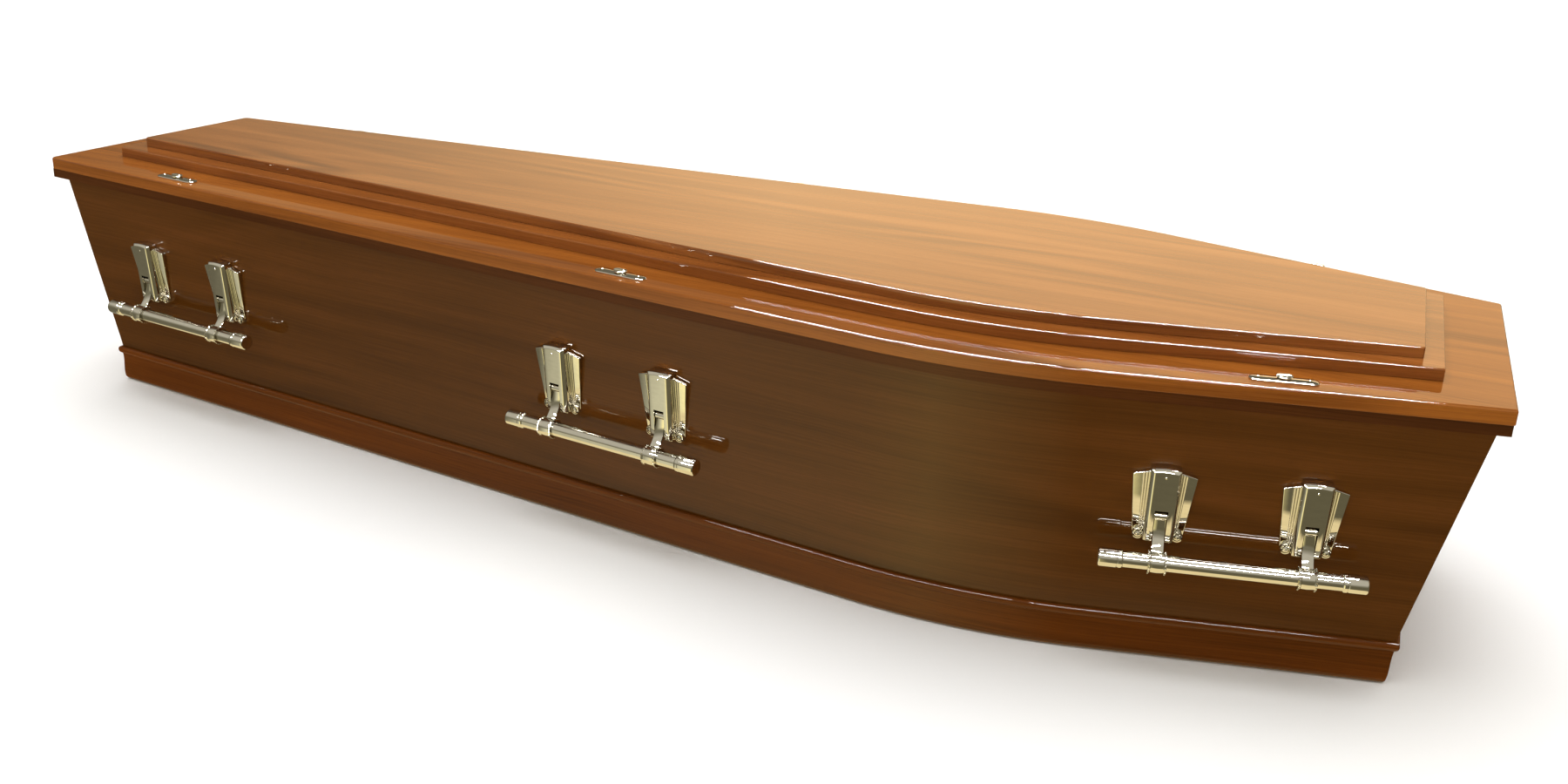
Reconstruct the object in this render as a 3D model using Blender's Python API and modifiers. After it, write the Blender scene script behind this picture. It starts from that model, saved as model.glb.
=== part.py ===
"""A wooden coffin with curved shoulders, a stepped lid, six bar handles and six lid screws.

Metres, Z up. X runs from the foot end to the head end. The origin is the middle of the
underside, half way along the lid. "left" is the side at -Y.
"""
import math

import bmesh
import bpy
from mathutils import Matrix, Vector

# Fits
GAP = 0.0003                     # between two pieces that touch
HINGE_PLAY = 0.0004              # round a pin that turns

# Lid board seen from above
LID_LENGTH = 1.95
FOOT_HALF_WIDTH = 0.1815
HEAD_HALF_WIDTH = 0.1915
SHOULDER_HALF_WIDTH = 0.318      # where the two straight runs of a side would meet
SHOULDER_FROM_HEAD = 0.517
SHOULDER_RADIUS = 0.838
SHOULDER_STEPS = 12

# Lid
LID_THICKNESS = 0.0165
LID_EDGE_RADIUS = 0.003
STRIP_HEIGHT = 0.012             # strip under the lid, round the top of the box
STRIP_SETBACK = 0.0015
TIER_EDGE_RADIUS = 0.0018
BOARD_EDGE_STEPS = 2
LOWER_TIER_THICKNESS = 0.0131
LOWER_TIER_SIDE_MARGIN = 0.0648
LOWER_TIER_END_MARGIN = 0.0688
UPPER_TIER_THICKNESS = 0.0118
UPPER_TIER_SIDE_STEP = 0.0274
UPPER_TIER_END_STEP = 0.0213

# Box, whose walls lean in towards the floor
BOX_HEIGHT = 0.3199
WALL_THICKNESS = 0.016           # measured level
FLOOR_THICKNESS = 0.016
SIDE_OVERHANG = 0.0133           # of the lid past the top of the wall
HEAD_OVERHANG = 0.0104
FOOT_OVERHANG = 0.0125
SIDE_RAKE = 0.0247               # how far the foot of a wall stands in from its top
HEAD_RAKE = 0.0677
FOOT_RAKE = 0.0612

# Base moulding
MOULDING_HEIGHT = 0.050
MOULDING_FACE = 0.0032           # flat band between the beads, out from the wall
BEAD_OUT = 0.0068                # crown of a bead, out from the wall
BEAD_HEIGHT = 0.011
BEAD_STEPS = 4

# Lid screws
SCREW_FROM_HEAD = 0.2195
SCREW_FROM_FOOT = 0.2415
SCREW_PLATE_LENGTH = 0.070
SCREW_PLATE_WIDTH = 0.013
SCREW_PLATE_THICKNESS = 0.0022
SCREW_PLATE_EDGE = 0.0008
PLATE_END_STEPS = 4
SCREW_HEAD_RADIUS = 0.0072
SCREW_HEAD_HEIGHT = 0.0026
SCREW_WING_LENGTH = 0.0172
SCREW_WING_THICKNESS = 0.0036
SCREW_WING_HEIGHT = 0.0046
SCREW_WING_WAIST = 0.62          # height of its middle, as a share of the height of its lobes
SCREW_WING_SQUARENESS = 0.5      # 1 is an ellipse, less is squarer
WING_STEPS = 6
SCREW_SHANK_RADIUS = 0.0025
SCREW_GRIP = 0.016               # depth of the shank in the wall
SHANK_IN_HEAD = 0.0006           # overlap that joins the shank to the head

# Handle back plates, measured from the hinge pin
HANDLE_FROM_HEAD = 0.247
HANDLE_FROM_FOOT = 0.244
HANDLE_PIN_HEIGHT = 0.1785       # of the place on the wall behind the pin, above the floor
PLATE_SPACING = 0.1525
PANEL_HALF_WIDTH = 0.0170
PANEL_TOP = 0.0522
PANEL_DOME = 0.0015
PANEL_BOTTOM = 0.0295
PANEL_THICKNESS = 0.0155
PANEL_EDGE = 0.0042
INNER_LEAF_TOP_HALF = 0.0238
INNER_LEAF_BOTTOM_HALF = 0.0192
INNER_LEAF_TOP = 0.0500
INNER_LEAF_THICKNESS = 0.0068
OUTER_LEAF_TOP_HALF = 0.0332
OUTER_LEAF_BOTTOM_HALF = 0.0265
OUTER_LEAF_TOP = 0.0487
OUTER_LEAF_THICKNESS = 0.0042
LEAF_TOP_SLANT = 0.0035
SCROLL_RADIUS = 0.0060
SCROLL_THICKNESS = 0.0078
SLOT_TOP = 0.0085

# Handle arms and bar
PIN_OUT = 0.0100                 # axis of the pin, out from the wall
PIN_RADIUS = 0.0022
PIN_REACH = 0.0018               # of each pin end past the arm
HUB_RADIUS = 0.0045
HUB_PROUD = 0.0003               # of the hub past each side of the arm
ARM_WIDTH = 0.0122
ARM_THICKNESS = 0.0040
ARM_PLAY = 0.0008                # each side of the arm in its slot
ARM_STEPS = 5
ARM_BENDS = ((0, 0), (0.15, 0.42), (0.32, 0.62), (0.78, 0.80))    # shares of the reach and drop
BAR_DROP = 0.0437                # axis of the bar, down the slope from the pin
BAR_OUT = 0.0310                 # axis of the bar, out from the wall
BAR_LENGTH = 0.274
BAR_RADIUS = 0.0088
BAR_END_RADIUS = 0.0101
BAR_END_LENGTH = 0.025
BAR_END_ROUNDING = 0.0015
COLLAR_RADIUS = 0.0124
COLLAR_WIDTH = 0.0188
ROUND_SIDES = 12
HUB_SIDES = 8
PIN_SIDES = 8
SMOOTH_UP_TO = 35                # degrees between faces that are shaded as one

LID_UNDERSIDE = BOX_HEIGHT + GAP
LID_TOP = LID_UNDERSIDE + LID_THICKNESS
SLOT_HALF_WIDTH = ARM_WIDTH / 2 + ARM_PLAY
SIDES = {"left": -1, "right": 1}
ENDS = {"foot": -1, "head": 1}


def empty_scene():
    """Leave no object and no collection from an earlier run."""
    for old in list(bpy.data.objects):
        bpy.data.objects.remove(old)
    for old in list(bpy.data.collections):
        bpy.data.collections.remove(old)


def new_collection(name):
    """Make a collection and hang it in the scene."""
    made = bpy.data.collections.new(name)
    bpy.context.scene.collection.children.link(made)
    return made


def new_material(name, colour, roughness, metallic):
    """Make one finish."""
    made = bpy.data.materials.new(name)
    made.use_nodes = True
    shader = made.node_tree.nodes["Principled BSDF"]
    shader.inputs["Base Color"].default_value = (*colour, 1.0)
    shader.inputs["Roughness"].default_value = roughness
    shader.inputs["Metallic"].default_value = metallic
    return made


def lid_lines():
    """The two straight runs of the +Y side of the lid, from the foot end to the head end."""
    foot = Vector((-LID_LENGTH / 2, FOOT_HALF_WIDTH))
    shoulder = Vector((LID_LENGTH / 2 - SHOULDER_FROM_HEAD, SHOULDER_HALF_WIDTH))
    head = Vector((LID_LENGTH / 2, HEAD_HALF_WIDTH))
    return shoulder, (shoulder - foot).normalized(), (head - shoulder).normalized()


def side_path(inset, head_in, foot_in):
    """Plan line of the +Y side, moved in by inset and cut off at both ends."""
    shoulder, rise, fall = lid_lines()
    half_turn = rise.angle(fall) / 2
    inward = (fall - rise).normalized()
    centre = shoulder + inward * SHOULDER_RADIUS / math.cos(half_turn)
    radius = SHOULDER_RADIUS - inset
    first = math.atan2(rise.x, -rise.y)
    last = math.atan2(fall.x, -fall.y)
    arc = []
    for step in range(SHOULDER_STEPS + 1):
        angle = first + (last - first) * step / SHOULDER_STEPS
        arc.append(centre + radius * Vector((math.cos(angle), math.sin(angle))))
    foot_x = foot_in - LID_LENGTH / 2
    head_x = LID_LENGTH / 2 - head_in
    foot_y = arc[0].y + (foot_x - arc[0].x) * rise.y / rise.x
    head_y = arc[-1].y + (head_x - arc[-1].x) * fall.y / fall.x
    return [Vector((foot_x, foot_y)), *arc, Vector((head_x, head_y))]


def outline(inset, head_in, foot_in):
    """Closed outline seen from above, anticlockwise."""
    path = side_path(inset, head_in, foot_in)
    near = [(point.x, -point.y) for point in path]
    far = [(point.x, point.y) for point in reversed(path)]
    return near + far


def wall_insets(height):
    """How far the outer face of the side, head and foot walls is in from the lid's edge."""
    lean = 1 - height / BOX_HEIGHT
    side = SIDE_OVERHANG + SIDE_RAKE * lean
    head = HEAD_OVERHANG + HEAD_RAKE * lean
    foot = FOOT_OVERHANG + FOOT_RAKE * lean
    return side, head, foot


def add_object(name, mesh, collection, material):
    """Put a mesh in the scene under its name."""
    made = bpy.data.objects.new(name, mesh)
    collection.objects.link(made)
    if material is not None:
        mesh.materials.clear()
        mesh.materials.append(material)
    return made


def finish_mesh(bm, name):
    """Turn the faces out and write the mesh."""
    bmesh.ops.recalc_face_normals(bm, faces=bm.faces)
    mesh = bpy.data.meshes.new(name)
    bm.to_mesh(mesh)
    bm.free()
    return mesh


def smooth(mesh):
    """Shade round stretches smooth and keep real edges sharp."""
    mesh.shade_smooth()
    mesh.set_sharp_from_angle(angle=math.radians(SMOOTH_UP_TO))


def sweep_rows(name, rows):
    """Solid whose section has one corner on each row. All rows have as many points."""
    bm = bmesh.new()
    grid = [[bm.verts.new(point) for point in row] for row in rows]
    for number, row in enumerate(grid):
        other = grid[(number + 1) % len(grid)]
        for step in range(len(row) - 1):
            bm.faces.new((row[step], row[step + 1], other[step + 1], other[step]))
    bm.faces.new([row[0] for row in grid])
    bm.faces.new([row[-1] for row in reversed(grid)])
    return finish_mesh(bm, name)


def stack_rings(name, rings):
    """Solid between closed rings that lie one above the other."""
    bm = bmesh.new()
    grid = [[bm.verts.new(point) for point in ring] for ring in rings]
    for low, high in zip(grid, grid[1:]):
        for step in range(len(low)):
            after = (step + 1) % len(low)
            bm.faces.new((low[step], low[after], high[after], high[step]))
    bm.faces.new(list(reversed(grid[0])))
    bm.faces.new(grid[-1])
    return finish_mesh(bm, name)


def mesh_of(source, name):
    """The object's shape as a plain mesh, with the loose caps of a curve welded."""
    bpy.context.view_layer.update()
    shape = bpy.data.meshes.new_from_object(
        source.evaluated_get(bpy.context.evaluated_depsgraph_get()))
    bm = bmesh.new()
    bm.from_mesh(shape)
    bpy.data.meshes.remove(shape)
    bmesh.ops.remove_doubles(bm, verts=bm.verts, dist=0.000001)
    bmesh.ops.dissolve_limit(bm, angle_limit=math.radians(0.5), verts=bm.verts, edges=bm.edges)
    return finish_mesh(bm, name)


def flat_shape(name, points, thickness):
    """A flat outline in XY, from z = 0 up to its thickness."""
    curve = bpy.data.curves.new(name, "CURVE")
    curve.dimensions = "2D"
    curve.fill_mode = "BOTH"
    curve.extrude = thickness / 2
    spline = curve.splines.new("POLY")
    spline.points.add(len(points) - 1)
    for place, point in zip(spline.points, points):
        place.co = (point[0], point[1], 0, 1)
    spline.use_cyclic_u = True
    holder = bpy.data.objects.new(name, curve)
    bpy.context.scene.collection.objects.link(holder)
    mesh = mesh_of(holder, name)
    bpy.data.objects.remove(holder)
    bpy.data.curves.remove(curve)
    mesh.transform(Matrix.Translation((0, 0, thickness / 2)))
    return mesh


def round_edges(target, width, segments, height):
    """Round the edges of an object whose two ends lie at this height."""
    mesh = target.data
    weights = mesh.attributes.new("bevel_weight_edge", "FLOAT", "EDGE")
    for edge in mesh.edges:
        ends = [mesh.vertices[number].co.z for number in edge.vertices]
        if max(abs(end - height) for end in ends) < GAP / 2:
            weights.data[edge.index].value = 1.0
    bevel = target.modifiers.new("rounded", "BEVEL")
    bevel.limit_method = "WEIGHT"
    bevel.width = width
    bevel.segments = segments


def cylinder(name, radius, length, sides, centre, axis):
    """A round bar about the X, Y or Z axis."""
    bm = bmesh.new()
    bmesh.ops.create_cone(bm, cap_ends=True, segments=sides, radius1=radius, radius2=radius,
                          depth=length)
    mesh = finish_mesh(bm, name)
    turns = {"X": Matrix.Rotation(math.pi / 2, 4, "Y"), "Y": Matrix.Rotation(math.pi / 2, 4, "X"),
             "Z": Matrix.Identity(4)}
    mesh.transform(Matrix.Translation(centre) @ turns[axis])
    return mesh


def block(name, low, high):
    """A box between two corners."""
    bm = bmesh.new()
    bmesh.ops.create_cube(bm, size=1)
    mesh = finish_mesh(bm, name)
    low = Vector(low)
    high = Vector(high)
    mesh.transform(Matrix.Translation((low + high) / 2) @ Matrix.Diagonal((*(high - low), 1)))
    return mesh


def combine(target, operation, mesh, guides):
    """Join a mesh to the object, or cut it away."""
    tool = add_object(mesh.name, mesh, guides, None)
    tool.hide_render = True
    tool.display_type = "WIRE"
    boolean = target.modifiers.new(mesh.name, "BOOLEAN")
    boolean.operation = operation
    boolean.object = tool


def make_floor(parts, wood):
    """Floor board, its edges cut to the lean of the walls."""
    rings = []
    for height in (0, FLOOR_THICKNESS):
        side, head, foot = (inset + WALL_THICKNESS + GAP for inset in wall_insets(height))
        rings.append([(x, y, height) for x, y in outline(side, head, foot)])
    add_object("floor_board", stack_rings("floor_board", rings), parts, wood)


def make_side_board(name, side, parts, wood):
    """Long wall, bent at the shoulder, as long as the box at every height."""
    rows = []
    for height, depth in ((0, 0), (BOX_HEIGHT, 0), (BOX_HEIGHT, WALL_THICKNESS), (0, WALL_THICKNESS)):
        inset, head, foot = wall_insets(height)
        path = side_path(inset + depth, head, foot)
        rows.append([(point.x, side * point.y, height) for point in path])
    return add_object(name, sweep_rows(name, rows), parts, wood)


def make_end_board(name, end, parts, wood):
    """End wall between the two long walls."""
    rows = []
    for height, depth in ((0, 0), (BOX_HEIGHT, 0), (BOX_HEIGHT, WALL_THICKNESS), (0, WALL_THICKNESS)):
        side, head, foot = wall_insets(height)
        path = side_path(side + WALL_THICKNESS, head + depth, foot + depth)
        corner = path[-1] if end > 0 else path[0]
        half = corner.y - GAP
        rows.append([(corner.x, -half, height), (corner.x, half, height)])
    add_object(name, sweep_rows(name, rows), parts, wood)


def moulding_section():
    """Section of the base moulding: out from the wall, and height, going up its face."""
    crown = BEAD_OUT - MOULDING_FACE
    section = [(GAP, 0)]
    for middle in (BEAD_HEIGHT / 2, MOULDING_HEIGHT - BEAD_HEIGHT / 2):
        for step in range(BEAD_STEPS + 1):
            angle = math.pi * step / BEAD_STEPS
            out = MOULDING_FACE + crown * math.sin(angle)
            section.append((out, middle - BEAD_HEIGHT / 2 * math.cos(angle)))
    section.append((GAP, MOULDING_HEIGHT))
    return section


def strip_section():
    """Section of the strip under the lid: its level corners as insets, and heights."""
    top = LID_UNDERSIDE - GAP
    return (("outer", top - STRIP_HEIGHT), ("outer", top), ("inner", top), ("inner", top - STRIP_HEIGHT))


def trim_row(insets, height, run):
    """One row of a trim that goes round the box, mitred at the corners."""
    side, head, foot = insets
    if run in SIDES:
        path = side_path(side, head + GAP, foot + GAP)
        return [(point.x, SIDES[run] * point.y, height) for point in path]
    path = side_path(side, head, foot)
    corner = path[-1] if ENDS[run] > 0 else path[0]
    half = corner.y - GAP
    return [(corner.x, -half, height), (corner.x, half, height)]


def make_moulding(run, parts, wood):
    """One length of the base moulding."""
    rows = []
    for out, height in moulding_section():
        insets = [inset - out for inset in wall_insets(height)]
        rows.append(trim_row(insets, height, run))
    name = "base_moulding_" + run
    made = add_object(name, sweep_rows(name, rows), parts, wood)
    smooth(made.data)


def make_strip(run, parts, wood):
    """One length of the strip that locates the lid round the top of the box."""
    outer = (STRIP_SETBACK, STRIP_SETBACK, STRIP_SETBACK)
    inner = [inset - GAP for inset in wall_insets(BOX_HEIGHT)]
    rows = []
    for edge, height in strip_section():
        rows.append(trim_row(outer if edge == "outer" else inner, height, run))
    name = "lid_strip_" + run
    add_object(name, sweep_rows(name, rows), parts, wood)


def make_board(name, insets, low, thickness, rounding, parts, wood):
    """Level board in the shape of the lid, its upper edge rounded."""
    made = add_object(name, flat_shape(name, outline(*insets), thickness), parts, wood)
    made.location.z = low
    round_edges(made, rounding, BOARD_EDGE_STEPS, thickness)
    smooth(made.data)
    return made


def make_lid(parts, wood, tier_wood):
    """Lid board and the two tiers on it."""
    lid = make_board("lid_board", (0, 0, 0), LID_UNDERSIDE, LID_THICKNESS, LID_EDGE_RADIUS, parts, wood)
    side = LOWER_TIER_SIDE_MARGIN
    end = LOWER_TIER_END_MARGIN
    low = LID_TOP + GAP
    make_board("lid_lower_tier", (side, end, end), low, LOWER_TIER_THICKNESS, TIER_EDGE_RADIUS,
               parts, tier_wood)
    side += UPPER_TIER_SIDE_STEP
    end += UPPER_TIER_END_STEP
    low += LOWER_TIER_THICKNESS + GAP
    make_board("lid_upper_tier", (side, end, end), low, UPPER_TIER_THICKNESS, TIER_EDGE_RADIUS,
               parts, tier_wood)
    return lid


def places_along(from_head, from_foot):
    """Where the three handles, or the three screws, of a side stand along X."""
    head = LID_LENGTH / 2 - from_head
    foot = from_foot - LID_LENGTH / 2
    return {"head": head, "middle": (head + foot) / 2, "foot": foot}


def point_on_side(x, inset):
    """Place and direction of the +Y side's plan line at x."""
    path = side_path(inset, 0, 0)
    for start, end in zip(path, path[1:]):
        if x <= end.x:
            break
    along = (end - start).normalized()
    return Vector((x, start.y + (x - start.x) * along.y / along.x)), along


def wall_frame(x, height, side):
    """Frame on the outer face of a long wall: X along it, Y up its slope, Z straight out."""
    place, along = point_on_side(x, wall_insets(height)[0])
    origin = Vector((place.x, side * place.y, height))
    level = Vector((-side * along.x, -along.y, 0))
    outward = Vector((-along.y, side * along.x, 0))
    slope = (outward * SIDE_RAKE + Vector((0, 0, BOX_HEIGHT))).normalized()
    out = level.cross(slope)
    turn = Matrix((level, slope, out)).transposed().to_4x4()
    return Matrix.Translation(origin) @ turn


def lid_frame(x, side):
    """Frame on the lid's ledge over the middle of the wall, X along the edge, Z up."""
    place, along = point_on_side(x, SIDE_OVERHANG + WALL_THICKNESS / 2)
    turn = Matrix.Rotation(math.atan2(side * along.y, along.x), 4, "Z")
    return Matrix.Translation((place.x, side * place.y, LID_TOP)) @ turn


def screw_plate_mesh(guides):
    """Long plate with round ends under a lid screw."""
    radius = SCREW_PLATE_WIDTH / 2
    points = []
    for end in (1, -1):
        for step in range(PLATE_END_STEPS + 1):
            angle = math.pi * (step / PLATE_END_STEPS - 0.5)
            x = (SCREW_PLATE_LENGTH / 2 - radius + radius * math.cos(angle)) * end
            points.append((x, radius * math.sin(angle) * end))
    plate = add_object("plate", flat_shape("plate", points, SCREW_PLATE_THICKNESS), guides, None)
    round_edges(plate, SCREW_PLATE_EDGE, 1, SCREW_PLATE_THICKNESS)
    bore = cylinder("plate_bore", SCREW_SHANK_RADIUS + GAP, SCREW_PLATE_THICKNESS * 3, PIN_SIDES,
                    (0, 0, 0), "Z")
    combine(plate, "DIFFERENCE", bore, guides)
    mesh = mesh_of(plate, "screw_plate")
    bpy.data.objects.remove(plate)
    smooth(mesh)
    return mesh


def thumb_screw_mesh(guides):
    """Lid screw with an upright wing, its seat at z = 0 and its shank below."""
    head = cylinder("screw_head", SCREW_HEAD_RADIUS, SCREW_HEAD_HEIGHT, ROUND_SIDES,
                    (0, 0, SCREW_HEAD_HEIGHT / 2), "Z")
    body = add_object("body", head, guides, None)
    points = []
    for step in range(WING_STEPS + 1):
        angle = math.pi * step / WING_STEPS
        x = SCREW_WING_LENGTH / 2 * math.cos(angle)
        lobe = SCREW_WING_WAIST + (1 - SCREW_WING_WAIST) * abs(math.cos(angle))
        height = SCREW_WING_HEIGHT * lobe * math.sin(angle) ** SCREW_WING_SQUARENESS
        points.append((x, height + SCREW_HEAD_HEIGHT / 2))
    wing = flat_shape("wing", points, SCREW_WING_THICKNESS)
    upright = Matrix.Rotation(math.pi / 2, 4, "X")
    wing.transform(upright @ Matrix.Translation((0, 0, -SCREW_WING_THICKNESS / 2)))
    combine(body, "UNION", wing, guides)
    shank_length = SCREW_PLATE_THICKNESS + GAP + LID_THICKNESS + SCREW_GRIP
    shank = cylinder("shank", SCREW_SHANK_RADIUS, shank_length, PIN_SIDES,
                     (0, 0, SHANK_IN_HEAD - shank_length / 2), "Z")
    combine(body, "UNION", shank, guides)
    mesh = mesh_of(body, "thumb_screw")
    bpy.data.objects.remove(body)
    smooth(mesh)
    return mesh


def make_lid_screws(lid, walls, parts, guides, chrome):
    """Six screws with their plates, and the holes that they pass through."""
    plate_mesh = screw_plate_mesh(guides)
    screw_mesh = thumb_screw_mesh(guides)
    for side_name, side in SIDES.items():
        for place, x in places_along(SCREW_FROM_HEAD, SCREW_FROM_FOOT).items():
            frame = lid_frame(x, side)
            tag = side_name + "_" + place
            plate = add_object("screw_plate_" + tag, plate_mesh, parts, chrome)
            plate.matrix_world = frame @ Matrix.Translation((0, 0, GAP))
            screw = add_object("thumb_screw_" + tag, screw_mesh, parts, chrome)
            seat = SCREW_PLATE_THICKNESS + 2 * GAP
            screw.matrix_world = frame @ Matrix.Translation((0, 0, seat))
            depth = LID_THICKNESS + SCREW_GRIP + 2 * GAP
            hole = cylinder("screw_hole_" + tag, SCREW_SHANK_RADIUS + GAP, 2 * depth, PIN_SIDES,
                            (0, 0, 0), "Z")
            hole.transform(frame)
            combine(lid, "DIFFERENCE", hole, guides)
            combine(walls[side_name], "DIFFERENCE", hole.copy(), guides)


def leaf_outline(bottom_half, bottom, top_half, top):
    """A pair of fan leaves, wider at the top, in one outline."""
    right = [(bottom_half, -bottom), (top_half, top - LEAF_TOP_SLANT), (PANEL_HALF_WIDTH, top)]
    return right + [(-x, y) for x, y in reversed(right)]


def handle_plate_mesh(guides):
    """Back plate of a handle: a raised panel on two pairs of fan leaves, with a slot."""
    panel = [(PANEL_HALF_WIDTH, -PANEL_BOTTOM), (PANEL_HALF_WIDTH, PANEL_TOP),
             (0, PANEL_TOP + PANEL_DOME), (-PANEL_HALF_WIDTH, PANEL_TOP),
             (-PANEL_HALF_WIDTH, -PANEL_BOTTOM)]
    plate = add_object("panel", flat_shape("panel", panel, PANEL_THICKNESS), guides, None)
    round_edges(plate, PANEL_EDGE, 1, PANEL_THICKNESS)
    bottom = PANEL_BOTTOM - SCROLL_RADIUS / 2
    inner = leaf_outline(INNER_LEAF_BOTTOM_HALF, bottom, INNER_LEAF_TOP_HALF, INNER_LEAF_TOP)
    outer = leaf_outline(OUTER_LEAF_BOTTOM_HALF, bottom, OUTER_LEAF_TOP_HALF, OUTER_LEAF_TOP)
    combine(plate, "UNION", flat_shape("inner_leaves", inner, INNER_LEAF_THICKNESS), guides)
    combine(plate, "UNION", flat_shape("outer_leaves", outer, OUTER_LEAF_THICKNESS), guides)
    for side in (-1, 1):
        x = side * (OUTER_LEAF_BOTTOM_HALF - SCROLL_RADIUS)
        scroll = cylinder("scroll", SCROLL_RADIUS, SCROLL_THICKNESS, HUB_SIDES,
                          (x, -bottom, SCROLL_THICKNESS / 2), "Z")
        combine(plate, "UNION", scroll, guides)
    reach = 2 * PANEL_THICKNESS
    slot = block("slot", (-SLOT_HALF_WIDTH, -2 * PANEL_BOTTOM, -reach), (SLOT_HALF_WIDTH, SLOT_TOP, reach))
    combine(plate, "DIFFERENCE", slot, guides)
    groove_half = PIN_RADIUS + HINGE_PLAY
    groove_end = ARM_WIDTH / 2 + PIN_REACH + HINGE_PLAY
    groove = block("pin_groove", (-groove_end, -groove_half, -reach),
                   (groove_end, groove_half, PIN_OUT + groove_half))
    combine(plate, "DIFFERENCE", groove, guides)
    mesh = mesh_of(plate, "handle_plate")
    bpy.data.objects.remove(plate)
    return mesh


def arm_outline():
    """Side view of the arm's strap, from the pin to the bar: out from the pin, and height."""
    reach = BAR_OUT - PIN_OUT
    controls = [Vector((out * reach, -down * BAR_DROP)) for out, down in ARM_BENDS]
    edges = ([], [])
    for step in range(ARM_STEPS + 1):
        t = step / ARM_STEPS
        shares = ((1 - t) ** 3, 3 * t * (1 - t) ** 2, 3 * t ** 2 * (1 - t), t ** 3)
        place = sum((point * share for point, share in zip(controls, shares)), Vector((0, 0)))
        slopes = ((1 - t) ** 2, 2 * t * (1 - t), t ** 2)
        legs = [after - before for before, after in zip(controls, controls[1:])]
        along = sum((leg * slope for leg, slope in zip(legs, slopes)), Vector((0, 0))).normalized()
        across = Vector((along.y, -along.x)) * ARM_THICKNESS / 2
        edges[0].append(place + across)
        edges[1].append(place - across)
    return edges[0] + edges[1][::-1]


def handle_arm_mesh(guides):
    """Arm with its pin and the collar round the bar. The origin is on the pin's axis."""
    strap = flat_shape("strap", arm_outline(), ARM_WIDTH)
    strap.transform(Matrix.Rotation(-math.pi / 2, 4, "Y") @ Matrix.Translation((0, 0, -ARM_WIDTH / 2)))
    arm = add_object("strap", strap, guides, None)
    bar_centre = (0, -BAR_DROP, BAR_OUT - PIN_OUT)
    hub_width = ARM_WIDTH + 2 * HUB_PROUD
    combine(arm, "UNION", cylinder("hub", HUB_RADIUS, hub_width, HUB_SIDES, (0, 0, 0), "X"), guides)
    pin_length = ARM_WIDTH + 2 * PIN_REACH
    combine(arm, "UNION", cylinder("pin", PIN_RADIUS, pin_length, PIN_SIDES, (0, 0, 0), "X"), guides)
    combine(arm, "UNION", cylinder("collar", COLLAR_RADIUS, COLLAR_WIDTH, ROUND_SIDES, bar_centre, "X"),
            guides)
    bore_radius = BAR_RADIUS + GAP / math.cos(math.pi / ROUND_SIDES)
    bore = cylinder("bore", bore_radius, 2 * COLLAR_WIDTH, ROUND_SIDES, bar_centre, "X")
    combine(arm, "DIFFERENCE", bore, guides)
    mesh = mesh_of(arm, "handle_arm")
    bpy.data.objects.remove(arm)
    smooth(mesh)
    return mesh


def handle_bar_mesh(guides):
    """Round bar with thicker ends, lying along X."""
    half = BAR_LENGTH / 2
    shoulder = half - BAR_END_LENGTH
    upper = [(0, half), (BAR_END_RADIUS - BAR_END_ROUNDING, half),
             (BAR_END_RADIUS, half - BAR_END_ROUNDING), (BAR_END_RADIUS, shoulder),
             (BAR_RADIUS, shoulder)]
    profile = upper + [(radius, -height) for radius, height in reversed(upper)]
    mesh = bpy.data.meshes.new("bar_profile")
    lines = [(number, number + 1) for number in range(len(profile) - 1)]
    mesh.from_pydata([(radius, 0, height) for radius, height in profile], lines, [])
    bar = add_object("bar_profile", mesh, guides, None)
    screw = bar.modifiers.new("turned", "SCREW")
    screw.steps = ROUND_SIDES
    screw.render_steps = ROUND_SIDES
    screw.use_merge_vertices = True
    screw.merge_threshold = 0.00001
    turned = mesh_of(bar, "handle_bar")
    bpy.data.objects.remove(bar)
    turned.transform(Matrix.Rotation(math.pi / 2, 4, "Y"))
    smooth(turned)
    return turned


def make_handles(parts, guides, chrome):
    """Six handles: two plates, two arms and a bar each."""
    plate_mesh = handle_plate_mesh(guides)
    arm_mesh = handle_arm_mesh(guides)
    bar_mesh = handle_bar_mesh(guides)
    for side_name, side in SIDES.items():
        for place, x in places_along(HANDLE_FROM_HEAD, HANDLE_FROM_FOOT).items():
            tag = side_name + "_" + place
            frame = wall_frame(x, HANDLE_PIN_HEIGHT, side)
            hinge = bpy.data.objects.new("hinge_" + tag, None)
            guides.objects.link(hinge)
            hinge.matrix_world = frame @ Matrix.Translation((0, 0, PIN_OUT))
            bar = add_object("handle_bar_" + tag, bar_mesh, parts, chrome)
            bar.parent = hinge
            bar.location = (0, -BAR_DROP, BAR_OUT - PIN_OUT)
            for number, offset in ((1, -PLATE_SPACING / 2), (2, PLATE_SPACING / 2)):
                plate = add_object(f"handle_plate_{tag}_{number}", plate_mesh, parts, chrome)
                plate.matrix_world = frame @ Matrix.Translation((offset, 0, GAP))
                arm = add_object(f"handle_arm_{tag}_{number}", arm_mesh, parts, chrome)
                arm.parent = hinge
                arm.location = (offset, 0, 0)


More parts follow.
